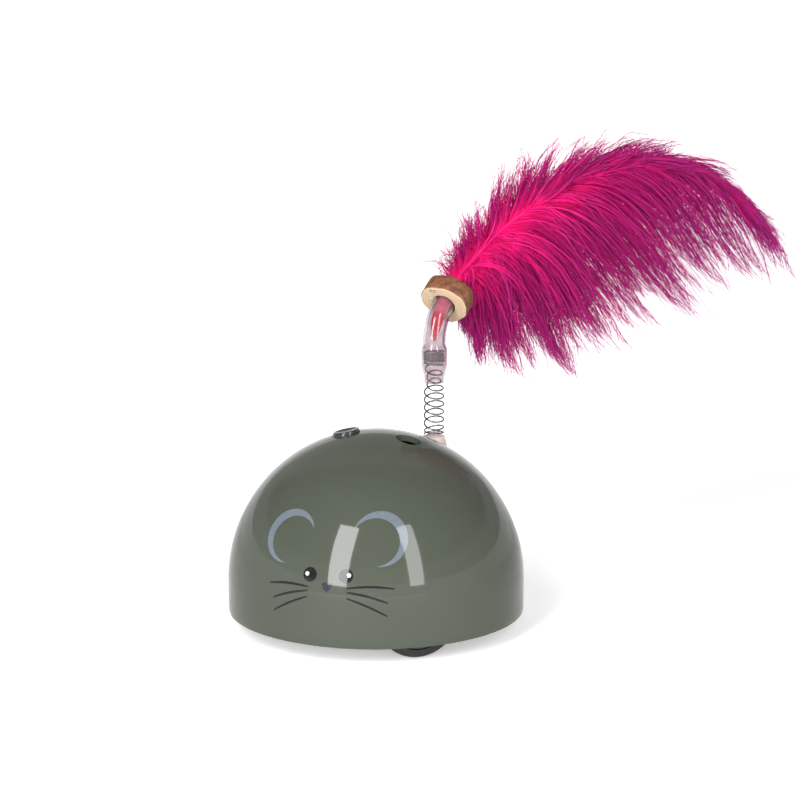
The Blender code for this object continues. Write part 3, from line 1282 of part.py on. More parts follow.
def make_tube(looks):
    """The clear tube: a tapered mouth over the coil, a band over the dead turns, then the bend."""
    dead_low = DEAD_START - MOUTH_HEIGHT
    dead_high = SPRING_TOP - MOUTH_HEIGHT
    straight = BEND_START - MOUTH_HEIGHT
    stations = [
        (0.0, TUBE_MOUTH_RADIUS, TUBE_WALL),
        (TUBE_LIP, TUBE_MOUTH_RADIUS, TUBE_WALL),
        (dead_low - WIRE_RADIUS, TUBE_BAND_RADIUS, TUBE_WALL),
        (dead_high + WIRE_RADIUS, TUBE_BAND_RADIUS, TUBE_WALL),
        (straight, TUBE_RADIUS, TUBE_UPPER_WALL),
    ]
    for step in range(1, BEND_STEPS + 1):
        length = straight + (bend_end() - straight) * step / BEND_STEPS
        stations.append((length, TUBE_RADIUS, TUBE_UPPER_WALL))
    stations.append((tube_end(), TUBE_RADIUS, TUBE_UPPER_WALL))
    skin = [(length, radius) for length, radius, _ in stations]
    skin += [(length, radius - wall) for length, radius, wall in reversed(stations)]
    rings = [ring_round(*tube_centre(length), radius, TUBE_STEPS) for length, radius in skin]
    shape = bmesh.new()
    loops = [[shape.verts.new(point) for point in ring] for ring in rings]
    for first, second in zip(loops, loops[1:] + loops[:1]):
        for index in range(TUBE_STEPS):
            after = (index + 1) % TUBE_STEPS
            shape.faces.new((first[index], first[after], second[after], second[index]))
    finish_object("feather_tube", shape, looks["clear"])


def bark_radius(degrees):
    """The slice is a little out of round, as a branch is."""
    waves = [share * math.cos(math.radians(lobes * degrees + start)) for share, lobes, start in BARK_SHARES]
    return SLICE_RADIUS * (1.0 + sum(waves))


def make_slice(looks):
    """The slice of a branch on the tube's bent end."""
    low = bend_end() + FIT_GAP
    side = Vector((*polar(1.0, TUBE_BEND_BEARING + 90.0), 0.0))
    levels = (
        (low, SLICE_EDGE),
        (low + SLICE_EDGE, 0.0),
        (low + SLICE_THICKNESS - SLICE_EDGE, 0.0),
        (low + SLICE_THICKNESS, SLICE_EDGE),
    )
    rings = []
    for length, inset in levels:
        place, direction = tube_centre(length)
        front = side.cross(direction)
        ring = []
        for step in range(SLICE_STEPS):
            degrees = 360.0 * step / SLICE_STEPS
            x, y = polar(bark_radius(degrees) - inset, degrees)
            ring.append(place + side * x + front * y)
        rings.append(ring)
    piece = finish_object("wood_slice", lofted_shape(rings), looks["wood"])
    bore_rings = [
        ring_round(*tube_centre(length), TUBE_RADIUS + FIT_GAP, TUBE_STEPS)
        for length in (low - OVERRUN, low + SLICE_THICKNESS + OVERRUN)
    ]
    change(piece, "slice_bore", lofted_shape(bore_rings), "DIFFERENCE")


def make_quill(looks):
    """The bare shaft of the feather, pointed, and bound to fill the tube inside the slice."""
    end = tube_end()
    start = end - SLICE_THICKNESS - QUILL_DEPTH
    bare = start + QUILL_POINT
    bound = bend_end() + FIT_GAP
    levels = [(start, QUILL_TIP_RADIUS)]
    for step in range(BEND_STEPS + 1):
        levels.append((bare + (bound - bare) * step / BEND_STEPS, QUILL_RADIUS))
    bound_radius = TUBE_RADIUS - TUBE_UPPER_WALL - FIT_GAP
    levels += [(bound + QUILL_BINDING, bound_radius), (end, bound_radius)]
    rings = [ring_round(*tube_centre(length), radius, PIN_STEPS) for length, radius in levels]
    finish_object("feather_quill", lofted_shape(rings), looks["quill"])


def make_loop(looks):
    """A small open loop of clear thread that hangs from the slice."""
    place, direction = tube_centre(bend_end() + FIT_GAP)
    side = Vector((*polar(1.0, TUBE_BEND_BEARING + 90.0), 0.0))
    lower = direction.cross(side)
    root = place + lower * LOOP_REACH + side * LOOP_SHIFT - direction * (FIT_GAP + LOOP_WIRE_RADIUS)
    down = Vector((0.0, 0.0, -1.0))
    points = [root - side * LOOP_RADIUS, root - side * LOOP_RADIUS + down * LOOP_DROP / 2]
    for step in range(PIN_STEPS // 2 + 1):
        across, up = polar(LOOP_RADIUS, 180.0 + 180.0 * step / (PIN_STEPS // 2))
        points.append(root + side * across + down * (LOOP_DROP - up))
    points += [root + side * LOOP_RADIUS + down * LOOP_DROP / 2, root + side * LOOP_RADIUS]
    tube_along("thread_loop", points, LOOP_WIRE_RADIUS, looks["clear"], sides=1)


def plume_row(share):
    """The plume's table, read smoothly at a share of its reach."""
    table = np.array(PLUME_SHARES)
    return [float(np.interp(share, table[:, 0], table[:, column])) for column in range(1, 5)]


def make_plume(looks):
    """The feather as one soft blade, thin along its shaft and fuller to both sides, with a notched fringe."""
    place, direction = tube_centre(tube_end() + 2 * FIT_GAP)
    along = Vector((*polar(1.0, PLUME_BEARING), 0.0))
    aside = Vector((*polar(1.0, PLUME_BEARING + 90.0), 0.0))
    up = Vector((0.0, 0.0, 1.0))
    root = place + direction * PLUME_EDGE
    rings = []
    for station in range(PLUME_STATIONS):
        share = station / (PLUME_STATIONS - 1)
        sideways, shaft, top, bottom = plume_row(share)
        notch = NOTCH_SHARE if station % 2 else 1.0
        centre = root + (along * share + aside * sideways) * PLUME_REACH + up * shaft * PLUME_HEIGHT
        above = (top - shaft) * PLUME_HEIGHT * notch
        below = (shaft - bottom) * PLUME_HEIGHT * notch
        fullness = THIN_END_SHARE + (1.0 - THIN_END_SHARE) * math.sin(math.pi * math.sqrt(share))
        half = fullness * min(PLUME_THICKNESS, above + below) / 2
        side = [(above * reach, half * width) for reach, width in ABOVE_SHARES]
        side.append((0.0, half * SHAFT_SHARE))
        side += [(-below * reach, half * width) for reach, width in BELOW_SHARES]
        ring = [centre + up * height - aside * (PLUME_EDGE / 2 + width) for height, width in side]
        ring += [centre + up * height + aside * (PLUME_EDGE / 2 + width) for height, width in reversed(side)]
        rings.append(ring)
    finish_object("feather_plume", lofted_shape(rings), looks["feather"])


def make_leads(looks):
    """Three leads, from the motors and the cell to the board."""
    routes = (("front_motor_lead", FRONT_LEAD), ("rear_motor_lead", REAR_LEAD), ("cell_lead", CELL_LEAD))
    for name, knots in routes:
        length = sum(math.dist(first, second) for first, second in zip(knots, knots[1:]))
        count = round(length / LEAD_STEP)
        tube_along(name, smooth_route(knots, count), LEAD_RADIUS, looks["lead"])


def make_looks():
    """Colours and finishes, by what the pieces are made of."""
    return {
        "shell": make_material("shell_grey_green", (0.132, 0.150, 0.115), 0.12),
        "dark_plastic": make_material("black_plastic", (0.012, 0.012, 0.013), 0.35),
        "white_plastic": make_material("natural_plastic", (0.72, 0.72, 0.69), 0.45),
        "gear_plastic": make_material("gear_plastic", (0.82, 0.81, 0.76), 0.35),
        "rubber": make_material("black_rubber", (0.01, 0.01, 0.01), 0.75),
        "steel": make_material("steel", (0.45, 0.45, 0.46), 0.25, 1.0),
        "brass": make_material("brass", (0.72, 0.52, 0.22), 0.28, 1.0),
        "board": make_material("board_green", (0.02, 0.14, 0.05), 0.4),
        "cell_wrap": make_material("cell_wrap", (0.05, 0.16, 0.42), 0.3),
        "lead": make_material("lead_red", (0.5, 0.02, 0.02), 0.4),
        "silicone": make_material("pale_silicone", (0.82, 0.66, 0.6), 0.3),
        "clear": make_material("clear_tube", (0.75, 0.7, 0.72), 0.1),
        "wood": make_material("branch_wood", (0.55, 0.36, 0.18), 0.7),
        "quill": make_material("quill_red", (0.7, 0.03, 0.12), 0.35),
        "feather": make_material("feather_pink", (0.72, 0.01, 0.25), 0.8),
    }


def main():
    """Build the whole toy."""
    clear_scene()
    looks = make_looks()
    make_shell(looks["shell"])
    make_plate(looks["dark_plastic"])
    make_drive("front", 1, looks)
    make_drive("rear", -1, looks)
    make_glides(looks)
    make_cell(looks)
    make_board(looks)
    make_button(looks)
    make_screws(looks)
    make_leads(looks)
    make_plug(looks)
    make_spring(looks)
    make_tube(looks)
    make_slice(looks)
    make_quill(looks)
    make_loop(looks)
    make_plume(looks)


main()
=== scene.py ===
"""Looks of the robotic mouse cat toy: every visible surface, the printed face and the feather."""

import math

import bmesh
import bpy
import numpy as np
from mathutils import Matrix, Vector


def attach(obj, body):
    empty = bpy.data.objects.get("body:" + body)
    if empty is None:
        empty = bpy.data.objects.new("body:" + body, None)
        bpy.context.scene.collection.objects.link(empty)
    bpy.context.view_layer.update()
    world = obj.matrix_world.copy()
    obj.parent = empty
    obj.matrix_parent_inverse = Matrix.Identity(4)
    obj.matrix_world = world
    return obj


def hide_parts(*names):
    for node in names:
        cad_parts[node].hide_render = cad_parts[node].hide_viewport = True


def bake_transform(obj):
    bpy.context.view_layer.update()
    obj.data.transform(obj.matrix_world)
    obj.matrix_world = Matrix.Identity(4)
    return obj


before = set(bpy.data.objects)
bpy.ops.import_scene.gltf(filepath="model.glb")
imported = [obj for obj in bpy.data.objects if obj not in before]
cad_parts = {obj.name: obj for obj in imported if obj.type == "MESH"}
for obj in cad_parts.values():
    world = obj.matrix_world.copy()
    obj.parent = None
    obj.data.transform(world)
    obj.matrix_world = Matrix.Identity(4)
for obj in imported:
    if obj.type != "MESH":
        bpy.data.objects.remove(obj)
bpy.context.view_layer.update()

MM = 0.001
UP = Vector((0.0, 0.0, 1.0))

# Sizes that part.py has too, in millimetres and degrees
DOME_R, DOME_Z, RIM_Z, WALL = 45.0, 10.25, 0.6, 1.8
BOARD_Z = DOME_Z + 32.6
BUTTON_R, SOCKET_HOLE_R, PLUG_HOLE_R = 4.0, 3.8, 2.8
BUTTON_X, BUTTON_Y = -8.9, -1.9
SOCKET_X, SOCKET_Y = 11.1, -1.9
PLUG_AZ, PLUG_REACH = 62.4, 24.03
PLUG_X = PLUG_REACH * math.cos(math.radians(PLUG_AZ))
PLUG_Y = PLUG_REACH * math.sin(math.radians(PLUG_AZ))
PLUG_TOP = DOME_Z + math.sqrt(DOME_R**2 - PLUG_REACH**2)
PLUG_SEAT = PLUG_TOP + 2.25
DEAD_PITCH, PITCH = 0.96, 2.43
FREE_TURNS, INNER_TURNS, DEAD_TURNS = 6.24, 2.5, 4
SPRING_Z = PLUG_SEAT + 0.54
MOUTH_Z = SPRING_Z + DEAD_PITCH + FREE_TURNS * PITCH
DEAD_Z = MOUTH_Z + INNER_TURNS * PITCH
COIL_TOP = DEAD_Z + DEAD_TURNS * DEAD_PITCH
BEND_Z = COIL_TOP + 2.2
BEND_R, BEND_ANGLE, BEND_AZ = 13.5, 55.0, 80.0
SLICE_T, SLICE_GAP = 6.2, 0.3
DRIVE = -50.0
WHEEL_Z, FLOOR_Z = 8.3, -4.7
GLIDE_REACH, SCREW_REACH = 26.0, 38.5

# Where the photograph was taken from, which way the face looks, and how bright floor and cove are
CAMERA_TURN = 20.0
FACE_TURN, FACE_TILT = 2.1, 0.03
FLOOR_GLOW, COVE_GLOW = 0.40, 1.0


# Materials

def new_material(name):
    material = bpy.data.materials.new(name)
    material.use_nodes = True
    return material, material.node_tree, material.node_tree.nodes["Principled BSDF"]


def feed(entry, value):
    """Links a node or a socket to an input, or sets the input's value."""
    if isinstance(value, bpy.types.Node):
        value = value.outputs[0]
    if isinstance(value, bpy.types.NodeSocket):
        entry.id_data.links.new(value, entry)
    else:
        entry.default_value = value


def wire(node, *values, **settings):
    """Gives settings to the inputs or properties that they name, then values to the first inputs in order."""
    for key, value in settings.items():
        entry = key.replace("_", " ")
        if entry in node.inputs.keys():
            feed(node.inputs[entry], value)
        else:
            setattr(node, key, value)
    for entry, value in zip(node.inputs, values):
        feed(entry, value)
    return node


def add_node(tree, kind, *values, **settings):
    node = tree.nodes.new("ShaderNode" + kind)
    node.location = (-200.0 * len(tree.nodes), 0.0)
    return wire(node, *values, **settings)


def coordinates(tree, stretch=(1.0, 1.0, 1.0)):
    return add_node(tree, "Mapping", Vector=add_node(tree, "TexCoord").outputs["Object"], Scale=stretch)


def noise(tree, vector, scale, detail, **settings):
    return add_node(tree, "TexNoise", Vector=vector, Scale=scale, Detail=detail, **settings)


def span(tree, value, low, high, **settings):
    """Takes a value of 0 to 1, or of the range in settings, to a range of its own."""
    return add_node(tree, "MapRange", Value=value, To_Min=low, To_Max=high, **settings)


def relief(tree, height, strength, distance):
    return add_node(tree, "Bump", Height=height, Strength=strength, Distance=distance)


def ramp(tree, factor, *stops):
    node = add_node(tree, "ValToRGB", factor)
    elements = node.color_ramp.elements
    while len(elements) < len(stops):
        elements.new(0.5)
    for element, (position, colour) in zip(elements, stops):
        element.position = position
        element.color = (*colour, 1.0)
    return node


def surface(name, dark, light, rough=(0.3, 0.4), grain=400.0, fine=2500.0, bump=0.1, depth=0.00005,
            stretch=(1.0, 1.0, 1.0), **direct):
    """A finish whose colour, gloss and relief all vary a little."""
    material, tree, shader = new_material(name)
    vector = coordinates(tree, stretch)
    broad = noise(tree, vector, grain, 4.0)
    wire(shader, Base_Color=ramp(tree, broad, (0.35, dark), (0.65, light)),
         Roughness=span(tree, broad, *rough),
         Normal=relief(tree, noise(tree, vector, fine, 3.0), bump, depth), **direct)
    return material


def turned_metal(name, dark, light, rough=(0.18, 0.32), grain=600.0):
    """Bright metal with fine drawing lines."""
    return surface(name, dark, light, rough, grain, 5000.0, 0.06, 0.00003, (1.0, 1.0, 0.15), Metallic=1.0)


# The clear gloss over the shell and over the ink that is printed on it
GLOSS = {"Specular_IOR_Level": 0.04, "Coat_Weight": 0.2, "Coat_IOR": 1.8, "Coat_Roughness": 0.045}


def shell_material():
    material, tree, shader = new_material("dome_gloss")
    vector = coordinates(tree)
    broad = noise(tree, vector, 35.0, 3.0)
    body = ramp(tree, broad, (0.3, (0.053, 0.061, 0.047)), (0.7, (0.058, 0.066, 0.051)))
    wire(shader, Base_Color=body, Roughness=span(tree, noise(tree, vector, 900.0, 6.0), 0.07, 0.14),
         Normal=relief(tree, noise(tree, vector, 60.0, 1.0), 0.05, 0.0002), **GLOSS)
    return material


def ink(name, colour, light):
    """Printed ink under the shell's gloss, a little uneven in its body."""
    return surface(name, colour, light, (0.09, 0.17), 1500.0, 6000.0, 0.03, 0.00001, **GLOSS)


def clear_material(name, tint, rough=0.04):
    material, tree, shader = new_material(name)
    cloud = noise(tree, coordinates(tree), 300.0, 3.0)
    wire(shader, Base_Color=ramp(tree, cloud, (0.3, tint), (0.75, (0.78, 0.70, 0.74))),
         Roughness=span(tree, cloud, rough, rough * 3), Transmission_Weight=0.96, IOR=1.38)
    return material


def bark_material():
    material, tree, shader = new_material("bark")
    vector = coordinates(tree)
    broad = noise(tree, vector, 420.0, 8.0, Roughness=0.65)
    body = ramp(tree, broad, (0.28, (0.04, 0.013, 0.005)), (0.45, (0.11, 0.036, 0.013)),
                (0.58, (0.18, 0.068, 0.026)), (0.75, (0.28, 0.13, 0.060)))
    cracks = add_node(tree, "TexVoronoi", Vector=vector, Scale=900.0)
    wire(shader, Base_Color=body, Roughness=span(tree, broad, 0.55, 0.85),
         Normal=relief(tree, cracks, 0.5, 0.0002))
    return material


def sawn_material(centre, axis):
    """A sawn face with year rings about the slice's own axis."""
    material, tree, shader = new_material("sawn_wood")
    place = add_node(tree, "TexCoord").outputs["Object"]
    wander = noise(tree, place, 180.0, 4.0)
    offset = add_node(tree, "VectorMath", place, centre, operation="SUBTRACT")
    across = add_node(tree, "VectorMath", offset, axis, operation="CROSS_PRODUCT")
    distance = add_node(tree, "VectorMath", across, operation="LENGTH").outputs["Value"]
    rings = add_node(tree, "Math", distance, 7500.0, operation="MULTIPLY")
    uneven = add_node(tree, "Math", wander, 7.0, rings, operation="MULTIPLY_ADD")
    wave = add_node(tree, "Math", uneven, operation="SINE")
    level = add_node(tree, "MapRange", Value=wave, From_Min=-1.0)
    wire(shader, Base_Color=ramp(tree, level, (0.0, (0.42, 0.29, 0.18)), (1.0, (0.52, 0.39, 0.26))),
         Roughness=span(tree, wander, 0.6, 0.8), Normal=relief(tree, level, 0.3, 0.0001))
    return material


def feather_material(name, stops, glow=0.5):
    """Dyed barbs: the colour runs along each barb from its root to its tip, and light comes through."""
    material, tree, shader = new_material(name)
    along = add_node(tree, "Attribute", attribute_name="along").outputs["Fac"]
    mottle = noise(tree, coordinates(tree), 260.0, 3.0)
    shifted = add_node(tree, "Math", mottle, 0.5, along, operation="MULTIPLY_ADD")
    dye = ramp(tree, add_node(tree, "Math", shifted, 0.25, operation="SUBTRACT"), *stops)
    wire(shader, Base_Color=dye, Roughness=span(tree, mottle, 0.55, 0.8), Specular_IOR_Level=0.25)
    through = add_node(tree, "BsdfTranslucent", Color=dye)
    wire(tree.nodes["Material Output"], Surface=add_node(tree, "MixShader", glow, shader, through))
    return material


BLACK = surface("black_plastic", (0.010, 0.010, 0.011), (0.018, 0.018, 0.019), (0.3, 0.42), 500.0, 4200.0,
                0.12, 0.00004)
BUTTON = surface("button_black", (0.008, 0.008, 0.009), (0.013, 0.013, 0.014), (0.16, 0.26), 500.0, 4200.0,
                 0.05, 0.00002)
RUBBER = surface("tyre_rubber", (0.008, 0.008, 0.008), (0.022, 0.021, 0.020), (0.6, 0.85), 900.0, 5200.0,
                 0.35, 0.00008)
NATURAL = surface("natural_plastic", (0.66, 0.66, 0.62), (0.76, 0.76, 0.72), (0.38, 0.5), 300.0, 3600.0,
                  0.1, 0.00004)
GEAR = surface("gear_plastic", (0.76, 0.75, 0.70), (0.84, 0.83, 0.78), (0.3, 0.42), 300.0, 3600.0,
               0.08, 0.00003)
STEEL = turned_metal("bright_steel", (0.40, 0.40, 0.41), (0.58, 0.58, 0.59))
BRASS = turned_metal("turned_brass", (0.60, 0.40, 0.15), (0.78, 0.56, 0.26))
WIRE = turned_metal("spring_wire", (0.09, 0.085, 0.08), (0.19, 0.18, 0.17), (0.22, 0.36), 1500.0)
BOARD = surface("solder_mask", (0.010, 0.10, 0.035), (0.022, 0.15, 0.055), (0.25, 0.4), 900.0, 3000.0, 0.2)
WRAP = surface("cell_sleeve", (0.035, 0.12, 0.34), (0.05, 0.17, 0.44), (0.2, 0.32), 200.0, 2400.0)
LEAD = surface("lead_insulation", (0.38, 0.012, 0.012), (0.52, 0.025, 0.02), (0.35, 0.5), 500.0, 3000.0,
               0.1, 0.00004)
SILICONE = surface("soft_plug", (0.48, 0.38, 0.36), (0.56, 0.46, 0.43), (0.28, 0.42), 250.0, 2600.0, 0.12,
                   Subsurface_Weight=0.35, Subsurface_Radius=(0.0012, 0.0008, 0.0006), Subsurface_Scale=1.0)
SHELL = shell_material()
INK_BLACK = ink("ink_black", (0.006, 0.006, 0.007), (0.011, 0.011, 0.012))
INK_SLATE = ink("ink_slate", (0.018, 0.022, 0.032), (0.028, 0.033, 0.046))
INK_WHITE = ink("ink_white", (0.50, 0.50, 0.50), (0.58, 0.58, 0.58))
INK_EAR = ink("ink_ear", (0.108, 0.126, 0.150), (0.124, 0.144, 0.170))
CLEAR = clear_material("clear_tube", (0.60, 0.50, 0.54), 0.015)
THREAD = clear_material("clear_thread", (0.86, 0.84, 0.86))


# Shapes, whose points are in millimetres

def link_mesh(name, mesh, materials, sharp=None):
    for material in materials:
        mesh.materials.append(material)
    mesh.shade_smooth()
    if sharp is not None:
        mesh.set_sharp_from_angle(angle=math.radians(sharp))
    piece = bpy.data.objects.new(name, mesh)
    bpy.context.scene.collection.objects.link(piece)
    return piece


def mesh_piece(name, points, faces, materials, sharp=None):
    mesh = bpy.data.meshes.new(name)
    mesh.from_pydata([tuple(float(value) * MM for value in point) for point in points], [], faces)
    mesh.update()
    fixer = bmesh.new()
    fixer.from_mesh(mesh)
    bmesh.ops.recalc_face_normals(fixer, faces=fixer.faces)
    fixer.to_mesh(mesh)
    fixer.free()
    return link_mesh(name, mesh, materials, sharp)


def mark_along(mesh, marks):
    """Keeps, at each point, how far along its barb or quill it lies: the feather's dye follows that."""
    mesh.attributes.new("along", "FLOAT", "POINT").data.foreach_set("value", marks)


def polar(centre, radius, angle):
    return centre[0] + radius * math.cos(angle), centre[1] + radius * math.sin(angle)


def between(start, stop, share):
    return tuple(low + (high - low) * share for low, high in zip(start, stop))


def rounding(start, corner, stop, share):
    """A point on the curve that leaves start and reaches stop, drawn towards a corner."""
    return tuple(a * (1 - share) ** 2 + b * 2 * share * (1 - share) + c * share**2
                 for a, b, c in zip(start, corner, stop))


def ease(value, low, high):
    share = min(1.0, max(0.0, (value - low) / (high - low)))
    return share * share * (3.0 - 2.0 * share)


def turned(profile, steps=96, centre=(0.0, 0.0)):
    """Points and faces of a profile of (radius, height) spun about Z. A height can depend on x and y."""
    points, faces, rings = [], [], []
    for radius, height in profile:
        count = steps if radius else 1
        rings.append(range(len(points), len(points) + count))
        for step in range(count):
            x, y = polar(centre, radius, math.tau * step / steps)
            points.append((x, y, height(x, y) if callable(height) else height))
    pairs = list(zip(rings, rings[1:]))
    if profile[0][0] and profile[-1][0]:
        pairs.append((rings[-1], rings[0]))
    for first, second in pairs:
        for step in range(steps):
            after = (step + 1) % steps
            if len(first) == 1:
                faces.append((first[0], second[step], second[after]))
            elif len(second) == 1:
                faces.append((first[step], first[after], second[0]))
            else:
                faces.append((first[step], first[after], second[after], second[step]))
    return points, faces


def rounded_profile(profile, radius, corners=4):
    """Rounds each inner corner of an open profile by up to a radius."""
    result = [profile[0]]
    for before, corner, after in zip(profile, profile[1:], profile[2:]):
        b, c, a = Vector(before), Vector(corner), Vector(after)
        reach = min(radius, (b - c).length * 0.45, (a - c).length * 0.45)
        start = c + (b - c).normalized() * reach
        stop = c + (a - c).normalized() * reach
        result += [rounding(start, c, stop, step / corners) for step in range(corners + 1)]
    result.append(profile[-1])
    return result


def loft(rings, closed=True):
    """Joins rings into points and faces: in a loop when closed, or else with both ends capped."""
    count = len(rings[0])
    points = [point for ring in rings for point in ring]
    faces = []
    for index in range(len(rings) if closed else len(rings) - 1):
        low, high = index * count, ((index + 1) % len(rings)) * count
        for step in range(count):
            after = (step + 1) % count
            faces.append((low + step, low + after, high + after, high + step))
    if not closed:
        faces.append(tuple(range(count))[::-1])
        faces.append(tuple(range(len(points) - count, len(points))))
    return points, faces


def tube_mesh(points, radii, sides=12):
    """Sweeps a circle along points, without twist."""
    points = [Vector(point) for point in points]
    normal = (points[1] - points[0]).normalized().orthogonal().normalized()
    rings = []
    for index, (point, radius) in enumerate(zip(points, radii)):
        ahead = points[min(index + 1, len(points) - 1)] - points[max(index - 1, 0)]
        ahead.normalize()
        normal = (normal - ahead * normal.dot(ahead)).normalized()
        binormal = ahead.cross(normal)
        rings.append([point + (normal * math.cos(angle) + binormal * math.sin(angle)) * radius
                      for angle in (math.tau * side / sides for side in range(sides))])
    return loft(rings, closed=False)


def cut_holes(piece, cutters, sharp):
    """Cuts shapes out of a piece and keeps the result as its mesh."""
    for cutter in cutters:
        modifier = piece.modifiers.new("hole", "BOOLEAN")
        modifier.operation = "DIFFERENCE"
        modifier.solver = "EXACT"
        modifier.object = cutter
    bpy.context.view_layer.update()
    graph = bpy.context.evaluated_depsgraph_get()
    result = bpy.data.meshes.new_from_object(piece.evaluated_get(graph))
    piece.modifiers.clear()
    old = piece.data
    piece.data = result
    bpy.data.meshes.remove(old)
    for cutter in cutters:
        bpy.data.objects.remove(cutter)
    result.shade_smooth()
    result.set_sharp_from_angle(angle=math.radians(sharp))


# The dome and the face printed on it, in (azimuth, height) from the face's middle

PRINT_LIFT, SPOT_LIFT = 0.035, 0.05
EYE_AZ, EYE_HEIGHT, EYE_R, SPOT_R = 7.14, 20.95, 2.1, 0.62
NOSE_HEIGHT, NOSE_FLAT = 17.5, 44.5
NOSE_CORNERS = ((-2.3, 1.55), (2.3, 1.55), (0.0, -1.85))
EAR_AZ, EAR_HEIGHT, EAR_R, EAR_THICK = 20.25, 30.5, 8.15, 2.6
EAR_START, EAR_STOP, EAR_THICKEST = 158.0, -98.0, 29.0
# Each whisker's start, its end and how far it bows
WHISKERS = (((7.5, 17.5), (25.2, 17.1), 0.6), ((7.7, 16.4), (22.9, 13.1), 0.45),
            ((7.6, 14.7), (22.6, 9.3), 0.4))


def on_dome(place, lift):
    """A point on the dome. The face's middle sits a little off -Y and askew."""
    azimuth, height = place
    height += FACE_TILT * DOME_R * math.radians(azimuth)
    rise = height + RIM_Z - DOME_Z
    radius = DOME_R + lift
    flat = radius if rise <= 0 else math.sqrt(max(0.0, radius**2 - rise**2))
    angle = math.radians(azimuth + FACE_TURN)
    return Vector((flat * math.sin(angle), -flat * math.cos(angle), height + RIM_Z))


def dome_arc(radius, steps):
    angles = [math.radians(90.0 * step / steps) for step in range(steps + 1)]
    return [(radius * math.sin(angle), DOME_Z + radius * math.cos(angle)) for angle in angles]


def make_dome():
    outline = dome_arc(DOME_R, 48) + [(DOME_R, DOME_Z - 3.5), (DOME_R, DOME_Z - 7.0), (DOME_R, RIM_Z + 0.45),
                                      (DOME_R - 0.12, RIM_Z + 0.14), (DOME_R - 0.45, RIM_Z),
                                      (DOME_R - WALL + 0.2, RIM_Z), (DOME_R - WALL, RIM_Z + 0.2)]
    dome = mesh_piece("dome_shell_gloss", *turned(outline + dome_arc(DOME_R - WALL, 24)[::-1], 192), [SHELL])
    cutters = []
    for x, y, radius in ((BUTTON_X, BUTTON_Y, BUTTON_R + 0.3), (SOCKET_X, SOCKET_Y, SOCKET_HOLE_R),
                         (PLUG_X, PLUG_Y, PLUG_HOLE_R)):
        hole = turned([(0.0, 40.0), (radius, 40.0), (radius, 60.0), (0.0, 60.0)], 64, (x, y))
        cutters.append(mesh_piece("cutter", *hole, []))
    cut_holes(dome, cutters, 40)
    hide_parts("dome_shell")
    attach(dome, "case")


def print_piece(name, points, faces, material):
    piece = mesh_piece(name, points, faces, [material])
    middle = sum((Vector(point) for point in points), Vector()) / len(points)
    if piece.data.polygons[0].normal.dot(middle - UP * DOME_Z) < 0:
        piece.data.flip_normals()
    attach(piece, "case")


def face_patch(name, outline, material, lift, centre):
    """A print on the dome: fine rings between a centre and an outline."""
    rings, count = 10, len(outline)
    points, faces = [on_dome(centre, lift)], []
    for ring in range(1, rings + 1):
        points += [on_dome(between(centre, place, ring / rings), lift) for place in outline]
    for step in range(count):
        after = (step + 1) % count
        faces.append((0, 1 + step, 1 + after))
        for ring in range(rings - 1):
            low = 1 + ring * count
            faces.append((low + step, low + count + step, low + count + after, low + after))
    print_piece(name, points, faces, material)


def band_patch(name, inner, outer, material):
    """A print between two lines of equal count."""
    rows = 5
    points, faces = [], []
    for first, second in zip(inner, outer):
        points += [on_dome(between(first, second, row / (rows - 1)), PRINT_LIFT) for row in range(rows)]
    for step in range(len(inner) - 1):
        for row in range(rows - 1):
            low = step * rows + row
            faces.append((low, low + 1, low + rows + 1, low + rows))
    print_piece(name, points, faces, material)


def dome_circle(azimuth, height, radius, count=40):
    """A circle of a real radius on the dome."""
    flat = math.sqrt(DOME_R**2 - max(0.0, height + RIM_Z - DOME_Z) ** 2)
    points = []
    for step in range(count):
        x, z = polar((0.0, height), radius, math.tau * step / count)
        points.append((azimuth + math.degrees(x / flat), height + (z - height) * flat / DOME_R))
    return points


def make_eyes():
    for name, azimuth in (("right_eye_print", -EYE_AZ), ("left_eye_print", EYE_AZ)):
        eye = (azimuth, EYE_HEIGHT)
        face_patch(name, dome_circle(*eye, EYE_R), INK_BLACK, PRINT_LIFT, eye)
        spot = (azimuth + math.copysign(1.15, azimuth), EYE_HEIGHT + 0.2)
        face_patch(name.replace("print", "spot"), dome_circle(*spot, SPOT_R, 24), INK_WHITE, SPOT_LIFT, spot)


def make_nose():
    nose = []
    for index, corner in enumerate(NOSE_CORNERS):
        start = between(corner, NOSE_CORNERS[index - 1], 0.45)
        stop = between(corner, NOSE_CORNERS[(index + 1) % 3], 0.45)
        for step in range(9):
            x, z = rounding(start, corner, stop, step / 8)
            nose.append((math.degrees(x / NOSE_FLAT), NOSE_HEIGHT + z))
    face_patch("nose_print", nose, INK_SLATE, PRINT_LIFT, (0.0, NOSE_HEIGHT))


def make_ears():
    slope = math.sqrt(DOME_R**2 - (EAR_HEIGHT + RIM_Z - DOME_Z) ** 2) / DOME_R
    for name, side in (("right_ear_print", -1), ("left_ear_print", 1)):
        inner, outer = [], []
        for step in range(73):
            angle = EAR_START + (EAR_STOP - EAR_START) * step / 72
            end = EAR_START if angle > EAR_THICKEST else EAR_STOP
            far = (angle - EAR_THICKEST) / (end - EAR_THICKEST)
            thickness = EAR_THICK * max(0.0, 1.0 - far**1.9) + 0.06
            for target, radius in ((outer, EAR_R), (inner, EAR_R - thickness)):
                x, z = polar((0.0, 0.0), radius, math.radians(angle))
                height = EAR_HEIGHT + z * slope
                flat = math.sqrt(max(1.0, DOME_R**2 - (height + RIM_Z - DOME_Z) ** 2))
                target.append((side * (EAR_AZ + math.degrees(x / flat)), height))
        band_patch(name, inner, outer, INK_EAR)


